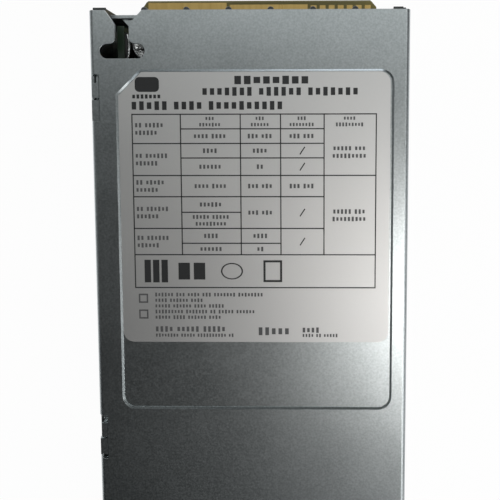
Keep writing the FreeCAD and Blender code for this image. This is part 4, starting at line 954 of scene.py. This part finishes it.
@dataclass
class CardEdge:
    """The board's card edge, with slanted corners and pads that end at different lengths."""

    card_from: float = 99.0 * MM
    pad_ends: tuple[Pair, ...] = ((-9.0, 100.35), (14.0, 99.80), (40.0, 99.55))
    pads_left: float = -31.5 * MM
    pad_reach: float = 0.5 * MM
    corners: tuple[Triple, ...] = (
        (-32.3, -31.65, 101.0), (-32.55, -32.0, 100.5), (-32.9, -32.9, 99.2),
        (32.3, 31.2, 101.0), (32.55, 31.6, 100.5), (32.9, 32.9, 99.0),
    )
    corner_reach: float = 0.05 * MM

    def build(self) -> None:
        """Build the board and the pads in place of the plain solids."""
        board, pads = bmesh.new(), bmesh.new()
        board.from_mesh(frame["nodes"]["main_board"].data)
        pads.from_mesh(frame["nodes"]["contact_pads"].data)
        for vert in board.verts:
            for old, new, end in self.corners:
                if vert.co.y > self.card_from and abs(vert.co.x - old * MM) < self.corner_reach:
                    vert.co.x, vert.co.y = new * MM, end * MM
        for vert in pads.verts:
            if vert.co.y > self.card_from:
                vert.co.y = next(end for limit, end in self.pad_ends if vert.co.x < limit * MM) * MM
            if vert.co.x < self.pads_left + self.pad_reach:
                vert.co.x = self.pads_left
        for node, shape in (("main_board", board), ("contact_pads", pads)):
            bmesh.ops.remove_doubles(shape, verts=shape.verts, dist=MERGED)
            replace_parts(new_piece(f"{node}_finished", shape, finish_of(node), node, smooth_to=20.0), node)


@dataclass
class CardDevice:
    """A flat device on the upright board, with a bright rounded edge that shows through the key slot."""

    low: Triple = (-30.0 * MM, 81.4 * MM, 22.0 * MM)
    high: Triple = (-29.05 * MM, 87.4 * MM, 34.6 * MM)
    edge: float = 0.15 * MM
    corner: float = 60.0
    bead: float = 0.32 * MM
    bead_steps: int = 12
    bend: float = 11.0 * MM
    sweep: float = math.radians(30.0)
    sweep_steps: int = 24
    apex: Triple = (-28.80 * MM, 84.2 * MM, 34.55 * MM)

    def build(self) -> None:
        """Build the device and its bright edge."""
        slab = bmesh.new()
        add_block(slab, Vector(self.low), Vector(self.high))
        round_edges(slab, sharp_edges(slab, self.corner), self.edge, 2)
        new_piece("card_device", slab, DEVICE_RESIN, "control_chips")
        strip = bmesh.new()
        apex = Vector(self.apex)
        upright = Matrix.Translation(apex) @ Matrix.Rotation(QUARTER, 4, "X")
        ring = bmesh.ops.create_circle(
            strip, cap_ends=True, segments=self.bead_steps, radius=self.bead, matrix=upright
        )["verts"]
        centre = apex - Vector((self.bend, 0.0, 0.0))
        bmesh.ops.rotate(strip, cent=centre, matrix=Matrix.Rotation(-self.sweep / 2.0, 3, "Z"), verts=ring)
        bmesh.ops.spin(
            strip, geom=list(strip.faces), cent=centre, axis=(0.0, 0.0, 1.0), angle=self.sweep,
            steps=self.sweep_steps,
        )
        bmesh.ops.recalc_face_normals(strip, faces=strip.faces)
        new_piece("device_edge", strip, CAN_TOP, "output_capacitors")


@dataclass
class CrossHeadScrew:
    """The cover's countersunk screw, with a cross recess in its head."""

    shank: float = 1.5 * MM
    arm: float = 1.25 * MM
    half_slot: float = 0.28 * MM
    depth: float = 0.8 * MM
    taper: float = 0.55
    steps: int = 40

    def build(self) -> None:
        """Build the screw in place of the plain solid."""
        node = "cover_screw"
        low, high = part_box(node)
        head = (high.y - low.y) / 2.0
        neck, tip = self.shank - head, low.x - high.x
        shape = bmesh.new()
        outline = [(head, 0.0), (self.shank, neck), (self.shank, tip), (0.0, tip)]
        add_turned(shape, outline, self.steps, Matrix())
        rim = [edge for edge in shape.edges if edge.is_boundary]
        cross = self.add_cross(shape)
        bmesh.ops.triangle_fill(shape, use_beauty=True, edges=rim + cross)
        sunk = bmesh.ops.extrude_edge_only(shape, edges=cross)["geom"]
        floor = [part for part in sunk if isinstance(part, Vert)]
        bmesh.ops.scale(shape, vec=(self.taper, self.taper, 1.0), verts=floor)
        bmesh.ops.translate(shape, vec=(0.0, 0.0, -self.depth), verts=floor)
        opened = [part for part in sunk if isinstance(part, Edge) and part.is_boundary]
        bmesh.ops.edgeloop_fill(shape, edges=opened)
        bmesh.ops.recalc_face_normals(shape, faces=shape.faces)
        spot = Vector((high.x, (high.y + low.y) / 2.0, (high.z + low.z) / 2.0))
        turn = Matrix.Translation(spot) @ Matrix.Rotation(QUARTER, 4, "Y")
        bmesh.ops.transform(shape, matrix=turn, verts=shape.verts)
        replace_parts(new_piece("cross_head_screw", shape, SCREW_STEEL, node), node)

    def add_cross(self, shape: Shape) -> list[Edge]:
        """Draw the recess's outline on the head.

        Args:
            shape: The bmesh that gets the outline.

        Returns:
            The outline's edges.
        """
        corners = [(self.arm, -self.half_slot), (self.arm, self.half_slot), (self.half_slot, self.half_slot)]
        points = [
            shape.verts.new(Matrix.Rotation(QUARTER * number, 3, "Z") @ Vector((x, y, 0.0)))
            for number in range(4) for x, y in corners
        ]
        return [shape.edges.new(pair) for pair in zip(points, points[1:] + points[:1])]


@dataclass
class LabelPrint:
    """A generic ruled table, with words shown as rows of plain small bars.

    Columns run from the label's left edge and rows from its rear edge.
    The tables in the methods give places and sizes in millimetres.
    """

    table_left: float = 3.1 * MM
    table_top: float = 9.7 * MM
    column_widths: tuple[float, ...] = (11.2, 13.85, 9.3, 10.05, 12.0)
    row_heights: tuple[float, ...] = (3.37, 3.37, 3.37, 4.07, 4.96, 3.66, 3.81, 3.51, 2.71, 7.85)
    rule: float = 0.27 * MM
    film: float = 0.02 * MM
    cell_inset: float = 0.7 * MM
    line_pitch: float = 1.75 * MM
    line_room: float = 0.35
    capital: float = 1.15 * MM
    capital_share: float = 0.62
    letter_gap: float = 0.36
    word_space: float = 0.50
    half_heights: Triple = (0.38, 0.44, 0.50)
    slash_length: float = 2.1 * MM
    slash_lean: float = math.radians(33.0)
    block_place: Pair = (0.8 * MM, 4.55 * MM)
    block_size: Pair = (5.6 * MM, 3.4 * MM)
    block_round: float = 1.0 * MM
    note_inset: float = 4.6 * MM
    ring_radii: Pair = (2.6 * MM, 2.25 * MM)
    ring_squash: float = 0.76
    ring_steps: int = 40
    seed: int = 11

    def __post_init__(self) -> None:
        """Read the label's place from the frame and work out the table's lines."""
        low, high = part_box("rating_label")
        self.rear, self.level = high.y, high.z
        self.bold, self.fine = bmesh.new(), bmesh.new()
        self.draw = random.Random(self.seed)
        self.columns = [low.x + self.table_left]
        for width in self.column_widths:
            self.columns.append(self.columns[-1] + width * MM)
        self.rows = [self.rear - self.table_top]
        for height in self.row_heights:
            self.rows.append(self.rows[-1] - height * MM)

    def build(self) -> None:
        """Build the rules, the words and the plain marks."""
        self.add_rules()
        self.add_cells()
        self.add_slashes()
        self.add_headings()
        self.add_notes()
        self.add_marks()
        new_piece("label_rules", self.bold, INK, "rating_label")
        new_piece("label_words", self.fine, GREY_INK, "rating_label")

    def bar(self, shape: Shape, left: float, right: float, front: float, rear: float) -> None:
        """Print one plain bar on the label.

        Args:
            shape: The bmesh that gets the bar.
            left: The bar's lowest X.
            right: The bar's highest X.
            front: The bar's lowest Y.
            rear: The bar's highest Y.
        """
        low = Vector((left, front, self.level - self.film))
        add_block(shape, low, Vector((right, rear, self.level + self.film)))

    def words(
        self, shape: Shape, left: float, centre: float, height: float, letters: tuple[int, ...],
        centred: bool = False, aspect: float = 0.46,
    ) -> None:
        """Print one line of words as rows of bars.

        Args:
            shape: The bmesh that gets the bars.
            left: The line's start, or its middle where it is centred.
            centre: The line's Y.
            height: The height of the line's capitals.
            letters: The number of bars in each word.
            centred: Whether left is the line's middle.
            aspect: A bar's width as a share of the height.
        """
        wide, gap, space = aspect * height, self.letter_gap * height, self.word_space * height
        length = sum(count * (wide + gap) for count in letters) + (len(letters) - 1) * space
        at = left - length / 2.0 if centred else left
        for count in letters:
            for _ in range(count):
                tall = height * self.draw.choice(self.half_heights)
                self.bar(shape, at, at + wide, centre - tall, centre + tall)
                at += wide + gap
            at += space

    def open_box(
        self, shape: Shape, left: float, centre: float, wide: float, tall: float, line: float
    ) -> None:
        """Print a plain open box.

        Args:
            shape: The bmesh that gets the box.
            left: The box's lowest X.
            centre: The box's middle along Y.
            wide: Its width.
            tall: Its height along Y.
            line: The width of its lines.
        """
        front, rear, right = centre - tall / 2.0, centre + tall / 2.0, left + wide
        self.bar(shape, left, right, rear - line, rear)
        self.bar(shape, left, right, front, front + line)
        self.bar(shape, left, left + line, front + line, rear - line)
        self.bar(shape, right - line, right, front + line, rear - line)

    def add_rules(self) -> None:
        """Print the table's lines, each over the columns or rows that it crosses."""
        half = self.rule / 2.0
        across = [(0, 0, 5), (1, 1, 4), (2, 0, 4), (3, 1, 4), (4, 0, 5), (5, 0, 4), (6, 1, 2), (7, 0, 4),
                  (8, 1, 3), (9, 0, 5), (10, 0, 5)]
        for row, first, last in across:
            left, right, level = self.columns[first] - half, self.columns[last] + half, self.rows[row]
            self.bar(self.bold, left, right, level - half, level + half)
        upright = [(0, 10), (1, 9), (2, 9), (3, 9), (4, 9), (5, 10)]
        for column, last in upright:
            place = self.columns[column]
            self.bar(self.bold, place - half, place + half, self.rows[last], self.rows[0])

    def add_cells(self) -> None:
        """Print the words of the table's cells, fitted to each cell.

        A cell gives its column, first row, last row and lines, with a digit for the letters of each word.
        """
        cells = [
            (0, 0, 2, "25 6"), (0, 2, 4, "26 6"), (0, 4, 5, "25 6"), (0, 5, 7, "26 6"), (0, 7, 9, "26 6"),
            (1, 0, 1, "3 7"), (1, 1, 2, "44"), (1, 2, 3, "4"), (1, 3, 4, "6"), (1, 4, 5, "44"),
            (1, 5, 6, "6"), (1, 6, 7, "55 9"), (1, 7, 8, "4"), (1, 8, 9, "6"), (2, 0, 1, "3 6"),
            (2, 1, 2, "33"), (2, 2, 3, "4"), (2, 3, 4, "2"), (2, 4, 5, "33"), (2, 5, 7, "33"), (2, 7, 8, "4"),
            (2, 8, 9, "2"), (3, 0, 1, "3 8"), (3, 1, 2, "33"), (3, 4, 5, "33"), (4, 0, 1, "4 9"),
            (4, 1, 4, "53 9"), (4, 4, 9, "53 9"),
        ]
        for column, first, last, text in cells:
            lines = [tuple(int(count) for count in line) for line in text.split()]
            left, right = self.columns[column], self.columns[column + 1]
            rear, front = self.rows[first], self.rows[last]
            pitch = min(self.line_pitch, (rear - front) / (len(lines) + self.line_room))
            height = min(self.capital, pitch * self.capital_share)
            top = (rear + front) / 2.0 + pitch * (len(lines) - 1) / 2.0
            centred = column > 0
            start = (left + right) / 2.0 if centred else left + self.cell_inset
            for number, letters in enumerate(lines):
                self.words(self.fine, start, top - number * pitch, height, letters, centred)

    def add_slashes(self) -> None:
        """Print a slanted stroke in each cell that holds no value."""
        middle = (self.columns[3] + self.columns[4]) / 2.0
        half = Vector((self.rule / 2.0, self.slash_length / 2.0, self.film))
        lean = Matrix.Rotation(-self.slash_lean, 3, "Z")
        for first, last in ((2, 3), (3, 4), (5, 7), (7, 9)):
            spot = Vector((middle, (self.rows[first] + self.rows[last]) / 2.0, self.level))
            stroke = add_block(self.bold, spot - half, spot + half)
            bmesh.ops.rotate(self.bold, cent=spot, matrix=lean, verts=stroke)

    def add_headings(self) -> None:
        """Print the headings above the table and the plain block beside them."""
        left = self.columns[0]
        headings = [(32.6, 1.9, 1.9, (8,), True, 0.80), (34.6, 4.5, 2.0, (7, 6, 7), True, 0.50),
                    (0.0, 7.7, 2.0, (5, 4, 10), False, 0.52), (0.2, 5.6, 0.95, (7,), False, 0.66)]
        for shift, drop, height, letters, centred, aspect in headings:
            place = left + shift * MM
            self.words(self.bold, place, self.rear - drop * MM, height * MM, letters, centred, aspect)
        aside, below = self.block_place
        corner = Vector((left + aside, self.rear - below, self.level - self.film))
        block = add_block(self.bold, corner, corner + Vector((*self.block_size, 2.0 * self.film)))
        upright = [
            edge for edge in {edge for vert in block for edge in vert.link_edges}
            if abs(edge.verts[0].co.z - edge.verts[1].co.z) > self.film
        ]
        round_edges(self.bold, upright, self.block_round, 5)

    def add_notes(self) -> None:
        """Print the lines below the table and the open boxes beside them."""
        start, base = self.columns[0] + self.note_inset, self.rows[-1]
        first_drop, pitch, small = 1.7, 1.36, 0.92
        notes = [(6, 3, 4, 3, 7, 8), (4, 6, 4), (5, 6, 4, 5), (9, 7, 2, 5, 6), (5, 4, 6, 4)]
        for number, letters in enumerate(notes):
            self.words(self.fine, start, base - (first_drop + pitch * number) * MM, small * MM, letters)
        for drop in (2.6, 6.4):
            place = self.columns[0] + 0.7 * MM
            self.open_box(self.fine, place, base - drop * MM, 2.2 * MM, 2.2 * MM, 0.35 * MM)
        foot = [(0.0, 10.0, (4, 5, 5), 1.35), (0.0, 11.5, (8, 5, 10, 2), 0.85), (24.4, 10.5, (5,), 1.9),
                (34.8, 10.2, (4,), 1.3), (34.8, 11.5, (4, 2, 5), 0.85)]
        for shift, drop, letters, height in foot:
            self.words(self.fine, start + shift * MM, base - drop * MM, height * MM, letters)

    def add_marks(self) -> None:
        """Print the plain marks in the table's last row: blocks, a ring and an open box."""
        middle = (self.rows[-1] + self.rows[-2]) / 2.0
        left = self.columns[0] + 2.2 * MM
        blocks = [(0.0, 1.5, 2.7), (2.0, 1.5, 2.7), (4.0, 1.5, 2.7), (8.0, 2.7, 2.0), (11.6, 2.7, 2.0)]
        for shift, wide, half in blocks:
            place = left + shift * MM
            self.bar(self.bold, place, place + wide * MM, middle - half * MM, middle + half * MM)
        squash = Matrix.Diagonal((1.0, self.ring_squash, 1.0, 1.0))
        spot = Matrix.Translation((left + 20.6 * MM, middle, self.level)) @ squash
        outer, inner = self.ring_radii
        profile = [(outer, self.film), (inner, self.film), (inner, -self.film), (outer, -self.film),
                   (outer, self.film)]
        add_turned(self.bold, profile, self.ring_steps, spot)
        self.open_box(self.bold, left + 28.0 * MM, middle, 4.4 * MM, 5.2 * MM, 0.5 * MM)


# Light, floor and camera


@dataclass
class SoftPanel:
    """A soft studio panel that looks at a point."""

    name: str
    place: Triple
    target: Triple
    size: Pair
    power: float
    tint: Colour

    def build(self) -> None:
        """Hang the panel."""
        lamp = bpy.data.lights.new(self.name, "AREA")
        lamp.shape = "RECTANGLE"
        lamp.size, lamp.size_y = self.size
        lamp.energy = self.power
        lamp.color = self.tint
        hung = bpy.data.objects.new(self.name, lamp)
        spot = Vector(self.place)
        aim = (Vector(self.target) - spot).to_track_quat("-Z", "Y")
        hung.matrix_world = Matrix.Translation(spot) @ aim.to_matrix().to_4x4()
        bpy.context.scene.collection.objects.link(hung)
        LOG.info("light %s at %s", self.name, self.place)


PANELS = (
    SoftPanel(
        "key_panel", (0.156, -0.093, 0.454), (0.02, 0.02, 0.04), (0.140, 0.098), 0.53, (1.0, 0.968, 0.94),
    ),
    SoftPanel(
        "wide_panel", (0.0464, 0.387, 0.70), (0.0, 0.05, 0.04), (1.378, 0.385), 2.249, (0.965, 0.99, 0.985),
    ),
    SoftPanel(
        "edge_panel", (0.40, -0.20, 0.40), (0.036, 0.0, 0.039), (0.42, 0.34), 0.95, (0.99, 0.995, 0.985),
    ),
    SoftPanel(
        "fill_panel", (-0.50, 0.04, 0.30), (0.0, 0.04, 0.04), (0.40, 0.62), 0.12, (0.97, 1.0, 1.0),
    ),
    SoftPanel(
        "low_panel", (0.165, -0.502, 0.156), (0.02, 0.05, 0.04), (0.376, 0.228), 0.66, (0.93, 0.985, 1.05),
    ),
)


@dataclass
class Studio:
    """The pale floor, the room's light and the panels."""

    floor_half: float = 3.0
    floor_tone: float = 0.86
    floor_roughness: float = 0.8
    floor_glow: float = 0.97
    horizon: Pair = (0.115, 0.13)
    horizon_turn: Pair = (0.043, 0.653)
    overhead: float = 0.002
    fade: Pair = (0.061, 0.773)
    room_tint: Colour = (0.92, 0.985, 1.0)

    def build(self) -> None:
        """Make the floor, the world and the panels."""
        self.build_floor()
        self.build_world()
        for panel in PANELS:
            panel.build()

    def build_floor(self) -> None:
        """Lay the pale floor, white to the eye but keeping the shadow."""
        shape = bmesh.new()
        bmesh.ops.create_grid(shape, x_segments=1, y_segments=1, size=self.floor_half)
        mesh = bpy.data.meshes.new("floor")
        shape.to_mesh(mesh)
        shape.free()
        material = bpy.data.materials.new("pale_floor")
        material.use_nodes = True
        tree = material.node_tree
        surface, seen = tree.nodes["Principled BSDF"], tree.nodes["Material Output"]
        set_inputs(surface, {"Base Color": rgba((self.floor_tone,) * 3), "Roughness": self.floor_roughness})
        glow = add_node(tree, "Emission", Strength=1.0)
        path = add_node(tree, "LightPath")
        first, second = add_math(tree, "MAXIMUM"), add_math(tree, "MAXIMUM")
        share = add_math(tree, "MULTIPLY", self.floor_glow)
        mix = add_node(tree, "MixShader")
        join(
            tree, (path, "Is Camera Ray", first, 0), (path, "Is Glossy Ray", first, 1),
            (first, "Value", second, 0), (path, "Is Transmission Ray", second, 1),
            (second, "Value", share, 0), (share, "Value", mix, "Fac"), (surface, "BSDF", mix, 1),
            (glow, "Emission", mix, 2), (mix, "Shader", seen, "Surface"),
        )
        mesh.materials.append(material)
        floor = bpy.data.objects.new("floor", mesh)
        bpy.context.scene.collection.objects.link(floor)

    def build_world(self) -> None:
        """Light the room: pale towards the right horizon, dim to the left and overhead."""
        world = bpy.data.worlds.new("studio")
        bpy.context.scene.world = world
        world.use_nodes = True
        tree = world.node_tree
        sky = tree.nodes["Background"]
        set_inputs(sky, {"Color": rgba(self.room_tint)})
        spot, parts = add_node(tree, "TexCoord"), add_node(tree, "SeparateXYZ")
        around = add_node(
            tree, "MapRange", From_Min=self.horizon_turn[0], From_Max=self.horizon_turn[1],
            To_Min=self.horizon[0], To_Max=self.horizon[1],
        )
        level = add_node(tree, "MapRange", From_Min=self.fade[0], From_Max=self.fade[1], To_Max=self.overhead)
        around.interpolation_type = level.interpolation_type = "SMOOTHSTEP"
        join(
            tree, (spot, "Generated", parts, "Vector"), (parts, "X", around, "Value"),
            (parts, "Z", level, "Value"), (around, "Result", level, "To Min"),
            (level, "Result", sky, "Strength"),
        )


@dataclass
class PhotoCamera:
    """The camera, close above the rear two thirds of the top."""

    place: Triple = (12.34 * MM, 64.89 * MM, 171.0 * MM)
    turn: Triple = (-0.0710, 0.0118, -0.0019)
    lens: float = 41.215
    sensor: float = 36.0
    shift: Pair = (-0.0934, -0.1617)
    nearest: float = 10.0 * MM

    def build(self) -> None:
        """Make the camera and look through it."""
        data = bpy.data.cameras.new("photo_camera")
        data.lens = self.lens
        data.sensor_width = self.sensor
        data.shift_x, data.shift_y = self.shift
        data.clip_start = self.nearest
        camera = bpy.data.objects.new("photo_camera", data)
        camera.location = self.place
        camera.rotation_euler = self.turn
        bpy.context.scene.collection.objects.link(camera)
        bpy.context.scene.camera = camera


def dress_nodes() -> None:
    """Give every CAD node its finish."""
    for name, node in frame["nodes"].items():
        for place in node.material_slots:
            place.material = finish_of(name).build()
        LOG.info("%s: dressed in %s", name, finish_of(name).name)


def main() -> None:
    """Dress the frame, build the pieces in order, light them and place the camera."""
    logging.basicConfig(level=logging.INFO, format="%(message)s")
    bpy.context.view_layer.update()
    bpy.context.scene.view_settings.view_transform = "Standard"
    dress_nodes()
    assemblies = (
        SheetCase(), Mouldings(), LatchSpring(), OutputCans(), CardEdge(), CardDevice(), CrossHeadScrew(),
        LabelPrint(),
    )
    for assembly in assemblies:
        assembly.build()
    Studio().build()
    PhotoCamera().build()


if __name__ == "__main__":
    main()
